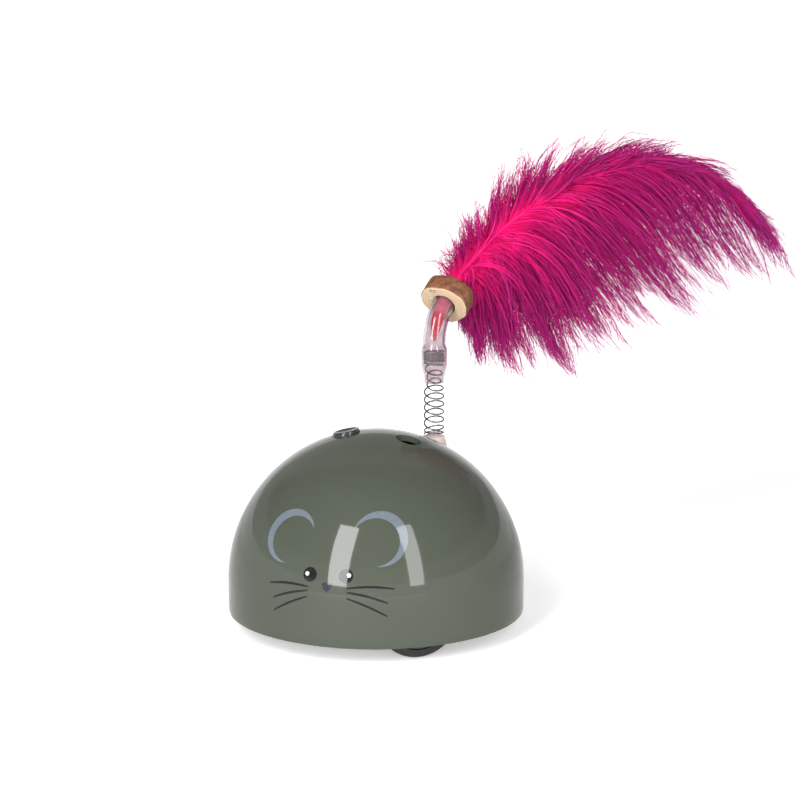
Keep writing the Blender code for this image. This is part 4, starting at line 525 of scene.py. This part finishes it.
def make_whiskers():
    for name, side in (("right", -1), ("left", 1)):
        for index, (start, stop, bow) in enumerate(WHISKERS):
            upper, lower = [], []
            for step in range(31):
                share = step / 30
                azimuth, height = between(start, stop, share)
                height += bow * math.sin(math.pi * share)
                half = 0.34 * max(0.1, math.sin(math.pi * (0.06 + share * 0.88))) ** 0.3
                upper.append((side * azimuth, height + half))
                lower.append((side * azimuth, height - half))
            band_patch(f"{name}_whisker_print_{index + 1}", lower, upper, INK_BLACK)


# Button, socket and plug

def above_dome(lift, rise, limit=math.inf):
    """A height that follows the dome's slope at a lift from its skin, and a rise above that."""
    return lambda x, y: min(DOME_Z + math.sqrt((DOME_R + lift) ** 2 - x * x - y * y) + rise, limit)


def make_button():
    """The dished cap, which follows the dome's slope, with its flange and stem."""
    dish, dish_radius = 0.75, 3.5
    profile = []
    for radius, edge in ((0.0, 0.0), (1.0, 0.0), (2.0, 0.0), (2.7, 0.0), (3.2, 0.0), (3.45, 0.0), (3.6, 0.0),
                         (3.72, 0.0), (3.85, 0.04), (3.94, 0.14), (BUTTON_R, 0.32)):
        hollow = dish * max(0.0, 1.0 - (radius / dish_radius) ** 2) ** 0.8
        profile.append((radius, above_dome(1.0, -hollow - edge)))
    reach = math.hypot(BUTTON_X, BUTTON_Y) + 5.2
    flange = DOME_Z + math.sqrt((DOME_R - WALL) ** 2 - reach**2) - 0.6
    stem = BOARD_Z + 3.75
    profile += [(BUTTON_R, flange), (5.1, flange - 0.05), (5.2, flange - 0.15), (5.2, flange - 1.0),
                (1.8, flange - 1.05), (1.8, stem), (0.0, stem)]
    cap = mesh_piece("power_button_cap", *turned(profile, 96, (BUTTON_X, BUTTON_Y)), [BUTTON], 50)
    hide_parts("power_button")
    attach(cap, "power_button")


def make_socket():
    top = DOME_Z + math.sqrt((DOME_R - WALL) ** 2 - (math.hypot(SOCKET_X, SOCKET_Y) + 4.5) ** 2) - 0.4
    seat, floor = BOARD_Z + 0.3, BOARD_Z + 2.1
    profile = [(0.0, seat), (4.5, seat), (4.5, top), (3.3, top), (3.3, floor), (0.0, floor)]
    shape = turned(rounded_profile(profile, 0.25), 96, (SOCKET_X, SOCKET_Y))
    socket = mesh_piece("charge_socket_body", *shape, [BLACK], 50)
    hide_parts("charge_socket")
    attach(socket, "case")
    low = floor + 0.3
    profile = [(0.0, low), (1.0, low), (1.0, low + 3.6), (0.6, low + 3.9), (0.0, low + 3.9)]
    shape = turned(rounded_profile(profile, 0.15), 48, (SOCKET_X, SOCKET_Y))
    pin = mesh_piece("charge_socket_pin", *shape, [BRASS], 50)
    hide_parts("socket_pin")
    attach(pin, "case")


def make_plug():
    """The soft plug: its cap lies on the dome and carries the spring on a level seat."""
    seat, neck = PLUG_SEAT, PLUG_SEAT - 1.7
    low = PLUG_TOP - 10.5
    profile = [(0.0, seat + 1.2), (1.3, seat + 1.18), (1.62, seat + 1.05), (1.75, seat + 0.8),
               (2.15, seat + 0.06), (2.3, seat), (3.05, seat), (3.3, seat - 0.12), (3.42, seat - 0.45),
               (3.6, seat - 1.1), (3.85, neck)]
    for radius, lift in ((4.12, 0.75), (4.2, 0.4), (4.15, 0.12), (4.05, 0.0), (3.2, 0.0), (2.5, 0.0)):
        limit = neck - (4.2 - lift * 2) * 0.02 if lift > 0.3 else math.inf
        profile.append((radius, above_dome(0.3, lift, limit)))
    profile += [(2.5, low + 1.2), (2.1, low + 0.1), (0.0, low)]
    plug = mesh_piece("feather_plug_cap", *turned(profile, 96, (PLUG_X, PLUG_Y)), [SILICONE], 60)
    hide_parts("feather_plug")
    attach(plug, "feather_plug")


# Spring and tube

COIL_R, WAIST_R = 2.96, 2.1
WIRE_R, DEAD_WIRE_R = 0.24, 0.40
# How far the turns lean away from the camera, and where the coil starts
COIL_LEAN, COIL_START = 0.95, 200.0
# Where the two halves of the spring meet, and a span of heights for each half
SPLIT_Z, LOWER_BEND, UPPER_BEND = 59.3, (51.6, 58.7), (59.9, 66.8)
TUBE_TOWARD = Vector((math.cos(math.radians(BEND_AZ)), math.sin(math.radians(BEND_AZ)), 0.0))
TUBE_SIDE = Vector((math.cos(math.radians(BEND_AZ + 90)), math.sin(math.radians(BEND_AZ + 90)), 0.0))
STRAIGHT = BEND_Z - MOUTH_Z
BEND_END = STRAIGHT + BEND_R * math.radians(BEND_ANGLE)
TUBE_END = BEND_END + SLICE_T + 1.3


def coil_points(per_turn=40):
    stages = ((1.0, DEAD_PITCH), (FREE_TURNS + INNER_TURNS, PITCH), (DEAD_TURNS, DEAD_PITCH))
    turns = sum(stage for stage, _ in stages)
    count = round(turns * per_turn)
    points = []
    for step in range(count + 1):
        turn = turns * step / count
        height, left = SPRING_Z, turn
        for stage, pitch in stages:
            height += min(left, stage) * pitch
            left = max(0.0, left - stage)
        drawn_in = ease(height, MOUTH_Z - 2.43, MOUTH_Z - 0.24) - ease(height, MOUTH_Z + 0.8, DEAD_Z)
        radius = COIL_R - (COIL_R - WAIST_R) * drawn_in
        angle = math.radians(COIL_START - 360.0 * turn)
        free = ease(height, SPRING_Z + 0.6, SPRING_Z + 3.0) * (1.0 - ease(height, DEAD_Z - 3.0, DEAD_Z))
        height += COIL_LEAN * math.sin(angle - math.radians(CAMERA_TURN)) * free
        points.append(Vector((*polar((PLUG_X, PLUG_Y), radius, angle), height)))
    return points


def make_spring():
    points = coil_points()
    middle = next(index for index, point in enumerate(points) if point.z > SPLIT_Z)
    halves = (("spring_lower", points[: middle + 1], "feather_plug", "feather_spring", LOWER_BEND),
              ("spring_upper", points[middle:], "feather_spring", "feather_holder", UPPER_BEND))
    for name, run, first, second, (low, high) in halves:
        radii = [WIRE_R + (DEAD_WIRE_R - WIRE_R) * ease(point.z, DEAD_Z - 0.4, DEAD_Z + 0.4) for point in run]
        piece = mesh_piece(name, *tube_mesh(run, radii, 10), [WIRE], 70)
        if name == "spring_lower":
            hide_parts("feather_spring")
        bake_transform(piece)


def tube_place(length):
    """The place and the direction of the tube's centre line at a length from its mouth."""
    start = Vector((PLUG_X, PLUG_Y, MOUTH_Z))
    if length <= STRAIGHT:
        return start + UP * length, UP.copy()
    bend = math.radians(BEND_ANGLE)
    turn = min(bend, (length - STRAIGHT) / BEND_R)
    place = start + UP * (STRAIGHT + BEND_R * math.sin(turn)) + TUBE_TOWARD * BEND_R * (1.0 - math.cos(turn))
    direction = UP * math.cos(turn) + TUBE_TOWARD * math.sin(turn)
    return place + direction * max(0.0, length - BEND_END), direction


def tube_ring(length, radius, steps, wobble=lambda angle: 1.0):
    place, direction = tube_place(length)
    front = TUBE_SIDE.cross(direction)
    angles = [math.tau * step / steps for step in range(steps)]
    return [place + (TUBE_SIDE * math.cos(angle) + front * math.sin(angle)) * (radius * wobble(angle))
            for angle in angles]


def make_tube():
    # Each knot's length from the mouth, the radius outside and the wall
    knots = [(0.0, 3.05, 0.45), (0.8, 3.05, 0.45), (DEAD_Z - MOUTH_Z - 0.24, 4.0, 0.45),
             (COIL_TOP - MOUTH_Z + 0.24, 4.0, 0.45), (STRAIGHT, 3.5, 0.8), (TUBE_END, 3.5, 0.8)]
    outer, inner = [], []
    for length in np.linspace(0.0, TUBE_END, 90):
        before, after = next(pair for pair in zip(knots, knots[1:]) if length <= pair[1][0] + 1e-9)
        radius, wall = between(before[1:], after[1:], ease(length, before[0], after[0]))
        outer.append((length, radius))
        inner.insert(0, (length, radius - wall))
    outer = [(0.0, outer[0][1] - 0.12), (0.12, outer[0][1])] + outer[1:]
    inner = inner[:-1] + [(0.1, inner[-1][1]), (0.0, inner[-1][1] + 0.1)]
    rings = [tube_ring(length, radius, 56) for length, radius in outer + inner]
    tube = mesh_piece("feather_tube_clear", *loft(rings), [CLEAR], 60)
    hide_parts("feather_tube")
    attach(tube, "feather_holder")


# Slice, quill and loop

SLICE_BORE, SLICE_R = 3.82, 7.4
# Levels along the slice, each with its radius and whether its bark is rough there
SLICE_LEVELS = (
    (0.0, SLICE_BORE, 0), (0.0, 5.0, 0), (0.0, 6.2, 0), (0.02, 6.9, 0), (0.15, 7.2, 1), (0.45, 7.38, 1),
    (1.2, 7.42, 1), (2.2, 7.4, 1), (3.2, 7.44, 1), (4.3, 7.4, 1), (5.2, 7.42, 1), (5.75, 7.36, 1),
    (6.05, 7.18, 1), (6.2, 6.9, 0), (6.2, 6.0, 0), (6.2, 5.0, 0), (6.2, SLICE_BORE, 0),
)


def bark_wave(angle):
    waves = ((0.045, 2, 34), (0.03, 3, 115), (0.018, 7, 57))
    return sum(size * math.cos(count * angle + math.radians(shift)) for size, count, shift in waves)


def bark_detail(angle, level):
    waves = ((0.010, 13, 1.3), (0.007, 29, 2.1), (0.005, 47, 3.7))
    return sum(size * math.sin(count * angle + climb * level) for size, count, climb in waves)


def make_slice():
    low = BEND_END + SLICE_GAP
    centre, axis = tube_place(low + SLICE_T / 2)
    rings = []
    for height, radius, rough in SLICE_LEVELS:
        share = (radius - SLICE_BORE) / (SLICE_R - SLICE_BORE)

        def wobble(angle, share=share, height=height, rough=rough):
            return 1.0 + bark_wave(angle) * share + bark_detail(angle, height) * rough

        rings.append(tube_ring(low + height, radius, 168, wobble))
    finishes = [bark_material(), sawn_material(centre * MM, axis)]
    piece = mesh_piece("wood_slice_branch", *loft(rings), finishes, 50)
    for polygon in piece.data.polygons:
        corners = [piece.data.vertices[index].co for index in polygon.vertices]
        offset = sum(corners, Vector()) / len(corners) / MM - centre
        along = offset.dot(axis)
        if abs(along) > SLICE_T / 2 - 0.1 or (offset - axis * along).length < 4.5:
            polygon.material_index = 1
    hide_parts("wood_slice")
    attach(piece, "feather_holder")


def make_quill():
    quill = feather_material("quill_dye", [
        (0.0, (0.92, 0.004, 0.05)), (0.36, (0.90, 0.012, 0.09)), (0.48, (0.98, 0.30, 0.40)),
        (0.66, (0.96, 0.16, 0.32)), (1.0, (0.90, 0.02, 0.22)),
    ], 0.2)
    start, steps, sides = TUBE_END - SLICE_T - 13.5, 60, 24
    rings = []
    for length in np.linspace(start, TUBE_END, steps):
        rings.append(tube_ring(length, 0.25 + 2.1 * (1.0 - math.exp((start - length) / 4.5)), sides))
    piece = mesh_piece("feather_quill_point", *loft(rings, closed=False), [quill], 60)
    mark_along(piece.data, [step / (steps - 1) for step in range(steps) for _ in range(sides)])
    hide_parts("feather_quill")
    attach(piece, "feather_holder")


def make_loop():
    place, direction = tube_place(BEND_END + SLICE_GAP)
    root = place + direction.cross(TUBE_SIDE) * 6.4 + TUBE_SIDE * 1.8 - direction * 0.5
    half = 0.8
    points = [root - TUBE_SIDE * 0.55, root - TUBE_SIDE * half - UP * 1.1]
    for step in range(41):
        angle = math.pi * step / 40
        points.append(root - TUBE_SIDE * half * math.cos(angle) - UP * (2.2 + half * math.sin(angle)))
    points += [root + TUBE_SIDE * half - UP * 1.1, root + TUBE_SIDE * 0.55]
    piece = mesh_piece("thread_loop_clear", *tube_mesh(points, [0.2] * len(points), 10), [THREAD])
    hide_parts("thread_loop")
    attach(piece, "feather_holder")


# Feather

# Each row: share along the shaft, then a place in the camera's plan (right, away) and a height, in mm
SHAFT = np.array((
    (0.0, 22.4, 25.4, 95.0), (0.04, 26.5, 29.5, 100.0), (0.1, 33.9, 35.5, 107.5), (0.161, 38.7, 38.6, 111.9),
    (0.252, 48.0, 43.0, 118.4), (0.346, 58.6, 46.9, 124.6), (0.446, 70.8, 50.0, 129.8),
    (0.542, 83.7, 52.0, 133.1), (0.635, 96.7, 53.6, 132.1), (0.724, 108.1, 54.3, 126.6),
    (0.827, 119.6, 54.7, 116.9), (0.933, 129.1, 55.0, 105.0), (1.0, 133.9, 55.1, 95.9),
))
# Where barbs end below and above the shaft, each row with the share of the shaft where they spring
LOW_ENDS = np.array((
    (0.0, 29.0, 32.2, 80.0), (0.005, 33.0, 35.0, 68.5), (0.012, 42.5, 40.5, 61.0), (0.025, 53.0, 45.0, 58.0),
    (0.045, 62.8, 48.0, 58.7), (0.075, 73.3, 50.6, 63.5), (0.12, 87.9, 52.5, 72.7), (0.18, 98.0, 53.8, 75.5),
    (0.27, 111.3, 54.4, 80.3), (0.37, 119.2, 54.6, 87.1), (0.5, 128.2, 55.0, 90.0), (0.7, 132.5, 55.1, 93.3),
    (0.9, 134.3, 55.1, 95.5),
))
HIGH_ENDS = np.array((
    (0.0, 20.5, 23.3, 105.8), (0.015, 23.3, 26.3, 112.9), (0.05, 31.5, 34.0, 123.0), (0.1, 40.1, 39.5, 132.5),
    (0.16, 51.3, 44.4, 140.3), (0.23, 65.8, 48.7, 142.9), (0.3, 83.5, 52.0, 144.2), (0.38, 98.1, 53.8, 142.6),
    (0.46, 113.4, 54.4, 133.4), (0.56, 124.4, 54.8, 122.1), (0.7, 131.2, 55.0, 109.8),
    (0.9, 134.2, 55.1, 98.5),
))
# How much duller the dye is far along the shaft, and a barb's points and its width at the root
DARKEST = 0.34
BARB_POINTS, BARB_WIDTH = 14, 0.54
# How far from its tip the shaft is still drawn, and its radii at root and tip
SHAFT_SHOWN, SHAFT_ROOT, SHAFT_TIP = 0.80, 1.12, 0.12


def unit(vector):
    return vector / max(1e-9, float(np.linalg.norm(vector)))


def read_table(table, share):
    return np.array([np.interp(share, table[:, 0], table[:, column]) for column in (1, 2, 3)])


def read_ends(table, along):
    """An end and its root's share of the shaft, at a share of the length of the line of ends."""
    steps = np.linalg.norm(np.diff(table[:, 1:], axis=0), axis=1)
    marks = np.concatenate([[0.0], np.cumsum(steps)]) / steps.sum()
    row = [np.interp(along, marks, table[:, column]) for column in range(4)]
    return row[0], np.array(row[1:])


def to_row(points):
    """From the camera's plan to the row frame."""
    cos, sin = math.cos(math.radians(CAMERA_TURN)), math.sin(math.radians(CAMERA_TURN))
    x, y, z = np.array(points, float).T
    return np.stack((x * cos - y * sin, x * sin + y * cos, z), axis=1)


def barb_path(chance, start, end, ahead, depth, swing, upper):
    """One barb from its root to near its tuft's end, with its length and the way its ribbon faces."""
    full = chance.random() < 0.8
    length_share = 1.0 - abs(chance.normal(0.0, 0.13)) if full else chance.uniform(0.35, 0.85)
    target = start + (end - start) * length_share + chance.normal(0.0, 0.6, 3)
    stray = chance.random() < (0.09 if upper else 0.05)
    if stray:
        target = target + unit(end - start) * chance.uniform(1.5, 6.0) + chance.normal(0.0, 0.9, 3)
    reach = float(np.linalg.norm(target - start))
    straight = unit(target - start)
    bow = np.array([0.0, np.clip(depth / max(1.0, reach) * 2.6, -0.8, 0.8), 0.0])
    if upper:
        leave = unit(ahead * 0.9 + straight * 0.5 + bow + chance.normal(0.0, 0.12, 3))
        arrive = unit(straight + ahead * 0.15 + chance.normal(0.0, 0.35, 3))
    else:
        leave = unit(ahead * 0.95 + straight * 0.45 + bow + chance.normal(0.0, 0.13, 3))
        arrive = unit(straight - np.array(UP) * 0.3 + chance.normal(0.0, 0.2, 3))
    first = start + leave * reach * 0.46
    second = target - arrive * reach * 0.32
    run = np.linspace(0.0, 1.0, BARB_POINTS)[:, None]
    path = start * (1 - run) ** 3 + 3 * first * run * (1 - run) ** 2 + 3 * second * run**2 * (1 - run)
    path += target * run**3 + chance.normal(0.0, 0.10, (BARB_POINTS, 3)) * run
    path += swing * min(1.0, reach / 30.0) * np.sin(math.pi * run) * 0.8
    turn = chance.uniform(0.0, math.tau)
    ripple = chance.normal(0.0, 0.45, 3) * (1.6 if stray else 1.0)
    path += ripple * run**1.5 * np.sin(turn + run * reach / 1.7)
    if upper and stray:
        path -= (ahead * 3.0 + chance.normal(0.0, 1.0, 3)) * run**4
    return path, reach, unit(np.cross(arrive, chance.normal(0.0, 1.0, 3)))


def grow_hairs(chance, path, count, length):
    """Fine barbules around a barb: each one's share of the barb and its three points."""
    hairs = []
    for share in np.sort(chance.uniform(0.06, 0.97, count)):
        place_on = share * (BARB_POINTS - 1)
        index = min(BARB_POINTS - 2, int(place_on))
        step = path[index + 1] - path[index]
        place, tangent = path[index] + step * (place_on - index), unit(step)
        out = unit(np.cross(tangent, chance.normal(0.0, 1.0, 3)))
        size = length * chance.uniform(0.5, 1.15) * (1.0 - 0.78 * share)
        tip = place + (out * 0.75 + tangent * 0.7) * size
        hairs.append((share, [place - tangent * 0.08, place + tangent * 0.08, tip]))
    return hairs


def grow_barbs(table, count, per_clump, seed, upper, spread, hair_count, hair_length, groups, uneven):
    """Barbs as tapered ribbons in pointed tufts, the tufts in groups, each barb with fine barbules on it."""
    chance = np.random.default_rng(seed)
    points, faces, marks = [], [], []
    clumps = count // per_clump
    group_reach = 1.0 - abs(chance.normal(0.0, uneven, groups))
    group_reach[-2:] = (0.97, 1.0)
    group_sway = chance.normal(0.0, 1.6, (groups, 3))
    run = np.linspace(0.0, 1.0, BARB_POINTS)
    for clump in range(clumps):
        along = (clump + chance.uniform(0.0, 1.0)) / clumps
        group = min(groups - 1, int(along * groups))
        along += ((group + 0.5) / groups - along) * 0.62
        root_share, end = read_ends(table, along)
        root = read_table(SHAFT, root_share)
        tuft_reach = group_reach[group] - abs(chance.normal(0.0, 0.10))
        if chance.random() < 0.5:
            tuft_reach *= chance.uniform(0.4, 0.95)
        if not upper and along < 0.36:
            tuft_reach *= chance.uniform(0.75, 1.04)
        depth = spread * chance.uniform(-1.0, 1.0) * math.sqrt(tuft_reach)
        end = root + (end - root) * tuft_reach + group_sway[group] * tuft_reach + chance.normal(0.0, 1.0, 3)
        end[1] += depth
        shade = chance.normal(0.0, 0.09) + DARKEST * ease(root_share, 0.12, 0.62) - (0.12 if upper else 0.0)
        swing = chance.normal(0.0, 1.5, 3)
        for _ in range(per_clump):
            share = float(np.clip(root_share + abs(chance.normal(0.0, 0.03)) - 0.008, 0.0, 0.76))
            start = read_table(SHAFT, share)
            before, after = max(0.0, share - 0.03), min(1.0, share + 0.03)
            ahead = unit(read_table(SHAFT, after) - read_table(SHAFT, before))
            path, reach, facing = barb_path(chance, start, end, ahead, depth, swing, upper)
            base = len(points)
            for place, mark in zip(path, run):
                half = facing * BARB_WIDTH * (1.0 - 0.82 * mark) / 2
                points += [place - half, place + half]
                marks += [mark + shade] * 2
            for low in range(base, len(points) - 2, 2):
                faces.append((low, low + 1, low + 3, low + 2))
            hairs = max(5, int(hair_count * min(1.0, reach / 30.0)))
            for mark, hair in grow_hairs(chance, path, hairs, hair_length):
                faces.append((len(points), len(points) + 1, len(points) + 2))
                points += hair
                marks += [mark + shade, mark + shade, mark + shade + 0.1]
    return to_row(points), faces, marks


def feather_piece(name, grown, material):
    points, faces, marks = grown
    mesh = bpy.data.meshes.new(name)
    mesh.from_pydata((points * MM).tolist(), [], faces)
    mesh.update()
    mark_along(mesh, marks)
    piece = link_mesh(name, mesh, [material])
    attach(piece, "feather_holder")
    return piece


def make_feather():
    barbs = feather_material("dyed_barbs", [
        (0.0, (1.0, 0.016, 0.32)), (0.22, (0.78, 0.010, 0.23)), (0.5, (0.50, 0.009, 0.185)),
        (0.8, (0.45, 0.014, 0.20)), (1.0, (0.40, 0.022, 0.21)),
    ])
    grown = grow_barbs(LOW_ENDS, 2800, 14, 21, False, 5.0, 44, 2.1, 20, 0.15)
    low = feather_piece("plume_lower_barbs", grown, barbs)
    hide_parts("feather_plume")
    grown = grow_barbs(LOW_ENDS, 2800, 12, 23, False, 4.5, 44, 2.1, 27, 0.15)
    feather_piece("plume_middle_barbs", grown, barbs)
    grown = grow_barbs(HIGH_ENDS, 2600, 10, 22, True, 4.0, 34, 1.8, 64, 0.14)
    feather_piece("plume_upper_barbs", grown, barbs)
    shaft = feather_material("shaft_dye", [
        (0.0, (0.95, 0.02, 0.30)), (0.5, (0.70, 0.010, 0.20)), (1.0, (0.46, 0.01, 0.16)),
    ], 0.3)
    shares, sides = np.linspace(0.0, SHAFT_SHOWN, 80), 16
    line = to_row([read_table(SHAFT, share) for share in shares])
    radii = [SHAFT_TIP + (SHAFT_ROOT - SHAFT_TIP) * (1.0 - share) ** 3.0 for share in shares]
    piece = mesh_piece("plume_shaft", *tube_mesh(line, radii, sides), [shaft])
    mark_along(piece.data, [share for share in shares for _ in range(sides)])
    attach(piece, "feather_holder")


# Wheels, screws and glides

TREAD_TEETH, TREAD_STEPS = 120, 8
TREAD_R, TREAD_ROOT, TREAD_DEPTH = 13.0, 12.3, 0.38


def along_drive(sign):
    """Turns a shape made along Z to lie along a drive."""
    turn = Matrix(((0.0, 0.0, 1.0), (1.0, 0.0, 0.0), (0.0, 1.0, 0.0))).to_4x4()
    bearing = Matrix.Rotation(math.radians(DRIVE + (0.0 if sign > 0 else 180.0)), 4, "Z")
    return bearing @ Matrix.Translation((0.0, 0.0, WHEEL_Z)) @ turn


def make_wheels():
    profile = [(10.6, 34.1), (TREAD_ROOT, 34.0), (12.75, 34.2), (TREAD_R, 34.6), (TREAD_R, 36.0),
               (TREAD_R, 37.4), (12.75, 37.8), (TREAD_ROOT, 38.0), (10.6, 37.9)]
    steps = TREAD_TEETH * TREAD_STEPS
    for side, sign in (("front", 1), ("rear", -1)):
        place = along_drive(sign)
        rings = []
        for step in range(steps):
            valley = TREAD_DEPTH * (0.5 - 0.5 * math.cos(math.tau * step / TREAD_STEPS))
            ring = []
            for radius, height in profile:
                tread = max(0.0, (radius - TREAD_ROOT) / (TREAD_R - TREAD_ROOT))
                x, y = polar((0.0, 0.0), radius - valley * tread, math.tau * step / steps)
                ring.append(place @ Vector((x, y, height)))
            rings.append(ring)
        tyre = mesh_piece(f"{side}_tyre_tread", *loft(rings), [RUBBER], 60)
        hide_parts(f"{side}_tyre")
        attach(tyre, f"{side}_wheel")


def make_screws():
    profile = rounded_profile([(0.0, 0.55), (1.2, 0.6), (1.75, 0.82), (2.02, 1.15), (2.1, 1.5), (2.1, 1.9),
                               (1.1, 1.9), (1.1, 9.9), (0.0, 10.9)], 0.15)
    for index, turn in enumerate((50.0, 130.0, 230.0, 310.0)):
        x, y = polar((0.0, 0.0), SCREW_REACH, math.radians(DRIVE + turn))
        head = mesh_piece(f"case_screw_{index + 1}_pan", *turned(profile, 64, (x, y)), [STEEL], 50)
        cutters = []
        for arm in (0.0, 90.0):
            shape = bmesh.new()
            bmesh.ops.create_cube(shape, size=1.0)
            shape.transform(
                Matrix.Translation((x * MM, y * MM, 0.75 * MM))
                @ Matrix.Rotation(math.radians(arm + 31.0 * index), 4, "Z")
                @ Matrix.Diagonal((2.5 * MM, 0.55 * MM, 1.2 * MM, 1.0))
            )
            mesh = bpy.data.meshes.new("cutter")
            shape.to_mesh(mesh)
            shape.free()
            cutters.append(link_mesh("cutter", mesh, []))
        cut_holes(head, cutters, 35)
        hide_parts(f"case_screw_{index + 1}")
        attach(head, "case")


def make_glides():
    profile = rounded_profile([(0.0, FLOOR_Z), (1.2, FLOOR_Z), (1.6, FLOOR_Z + 0.15), (1.85, FLOOR_Z + 0.5),
                               (2.9, -2.1), (4.0, -1.2), (4.0, -0.3), (2.0, -0.3), (2.0, 4.2),
                               (0.0, 4.2)], 0.2)
    for name, turn in (("left_glide", 90.0), ("right_glide", -90.0)):
        place = polar((0.0, 0.0), GLIDE_REACH, math.radians(DRIVE + turn))
        piece = mesh_piece(f"{name}_foot", *turned(profile, 72, place), [BLACK], 50)
        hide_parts(name)
        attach(piece, "case")


# Nodes of the CAD that are shown as they are, each in its finish

FINISHES = (
    (BLACK, ("base_plate", "power_switch", "front_wheel_hub", "rear_wheel_hub")),
    (NATURAL, ("front_gear_frame", "rear_gear_frame", "front_motor_cap", "rear_motor_cap", "cell_strap",
               "switch_plunger")),
    (GEAR, ("front_idler_gear", "rear_idler_gear")),
    (STEEL, ("front_axle", "rear_axle", "front_idler_pin", "rear_idler_pin", "front_motor_can",
             "rear_motor_can", "front_motor_shaft", "rear_motor_shaft", "board_screw_1", "board_screw_2",
             "board_screw_3", "strap_screw_1", "strap_screw_2")),
    (BRASS, ("front_motor_pinion", "rear_motor_pinion")),
    (BOARD, ("circuit_board",)),
    (WRAP, ("battery_cell",)),
    (LEAD, ("front_motor_lead", "rear_motor_lead", "cell_lead")),
)


def finish_nodes():
    for material, names in FINISHES:
        for name in names:
            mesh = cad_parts[name].data
            mesh.materials.clear()
            mesh.materials.append(material)


# Studio

WHITE = (1.0, 1.0, 1.0, 1.0)
SMOOTH = {"interpolation_type": "SMOOTHSTEP"}
AIM = Vector((0.0, 0.0, 0.03))


def facing_out(turn, rise):
    """The direction from the object, turned from the camera's and raised, in degrees."""
    turn, rise = math.radians(turn + CAMERA_TURN), math.radians(rise)
    return Vector((math.sin(turn) * math.cos(rise), -math.cos(turn) * math.cos(rise), math.sin(rise)))


def bright_zone(tree, place, low, high, elevation, edge):
    """A value from low to high: high within a cone about a line that rises behind the object."""
    line = facing_out(180.0, elevation)
    toward = add_node(tree, "VectorMath", place, line, operation="DOT_PRODUCT").outputs["Value"]
    behind = span(tree, toward, 0.0, 1.0, From_Min=edge - 0.05, From_Max=edge + 0.05, **SMOOTH)
    return span(tree, behind, low, high)


def make_world():
    world = bpy.data.worlds.new("studio")
    bpy.context.scene.world = world
    world.use_nodes = True
    place = add_node(world.node_tree, "TexCoord").outputs["Generated"]
    glow = bright_zone(world.node_tree, place, 0.11, 0.60, 35.0, 0.81)
    wire(world.node_tree.nodes["Background"], Color=WHITE, Strength=glow)


def floor_material():
    """White paper, lit evenly near the object and behind it."""
    material, tree, shader = new_material("studio_paper")
    place = add_node(tree, "TexCoord").outputs["Object"]
    paper = ramp(tree, noise(tree, place, 900.0, 3.0), (0.3, (0.86, 0.86, 0.86)), (0.7, (0.89, 0.89, 0.89)))
    distance = add_node(tree, "VectorMath", place, operation="LENGTH").outputs["Value"]
    glow = span(tree, distance, FLOOR_GLOW, COVE_GLOW, From_Min=0.3, From_Max=1.6, **SMOOTH)
    toward = add_node(tree, "VectorMath", place, operation="NORMALIZE")
    rise = add_node(tree, "SeparateXYZ", toward).outputs["Z"]
    low, high = math.sin(math.radians(8.0)), math.sin(math.radians(8.8))
    below = span(tree, rise, 1.0, 0.0, From_Min=low, From_Max=high, **SMOOTH)
    near = add_node(tree, "Math", glow, below, operation="MULTIPLY")
    back = bright_zone(tree, toward, 0.0, 0.75, 0.0, 0.90)
    wire(shader, Base_Color=paper, Roughness=0.8, Specular_IOR_Level=0.1, Emission_Color=WHITE,
         Emission_Strength=add_node(tree, "Math", near, back, operation="MAXIMUM"))
    return material


def soft_box(name, azimuth, elevation, distance, width, height, power):
    lamp = bpy.data.lights.new(name, "AREA")
    lamp.shape = "RECTANGLE"
    lamp.size, lamp.size_y = width, height
    lamp.energy = power
    box = bpy.data.objects.new(name, lamp)
    bpy.context.scene.collection.objects.link(box)
    box.location = AIM + distance * facing_out(azimuth, elevation)
    box.rotation_euler = (box.location - AIM).to_track_quat("Z", "Y").to_euler()


def make_studio():
    camera = bpy.data.cameras.new("camera")
    camera.lens = 95.6
    camera.sensor_width = 36.0
    camera.clip_start, camera.clip_end = 0.01, 20.0
    viewer = bpy.data.objects.new("camera", camera)
    bpy.context.scene.collection.objects.link(viewer)
    viewer.location = (0.2214, -0.5871, 0.18155)
    viewer.rotation_euler = (math.radians(90.0 - 10.55), 0.0, math.radians(CAMERA_TURN))
    bpy.context.scene.camera = viewer

    profile = ((0.0, 0.0), (600.0, 0.0), (1500.0, 0.0), (2600.0, 0.0), (3200.0, 60.0), (3700.0, 300.0),
               (4000.0, 800.0), (4100.0, 1500.0))
    floor_shape = turned([(distance, FLOOR_Z + height) for distance, height in profile])
    floor = mesh_piece("studio_floor", *floor_shape, [floor_material()])
    make_world()
    soft_box("left_strip", -28.7, 27.3, 1.2, 0.325, 0.98, 19.5)
    soft_box("right_strip", 31.5, 27.3, 1.2, 0.244, 0.98, 9.8)
    bpy.context.scene.view_settings.view_transform = "Standard"
    bpy.context.scene.view_settings.look = "None"


make_studio()
make_dome()
make_eyes()
make_nose()
make_ears()
make_whiskers()
make_button()
make_socket()
make_plug()
make_spring()
make_tube()
make_slice()
make_quill()
make_loop()
make_feather()
make_wheels()
make_screws()
make_glides()
finish_nodes()
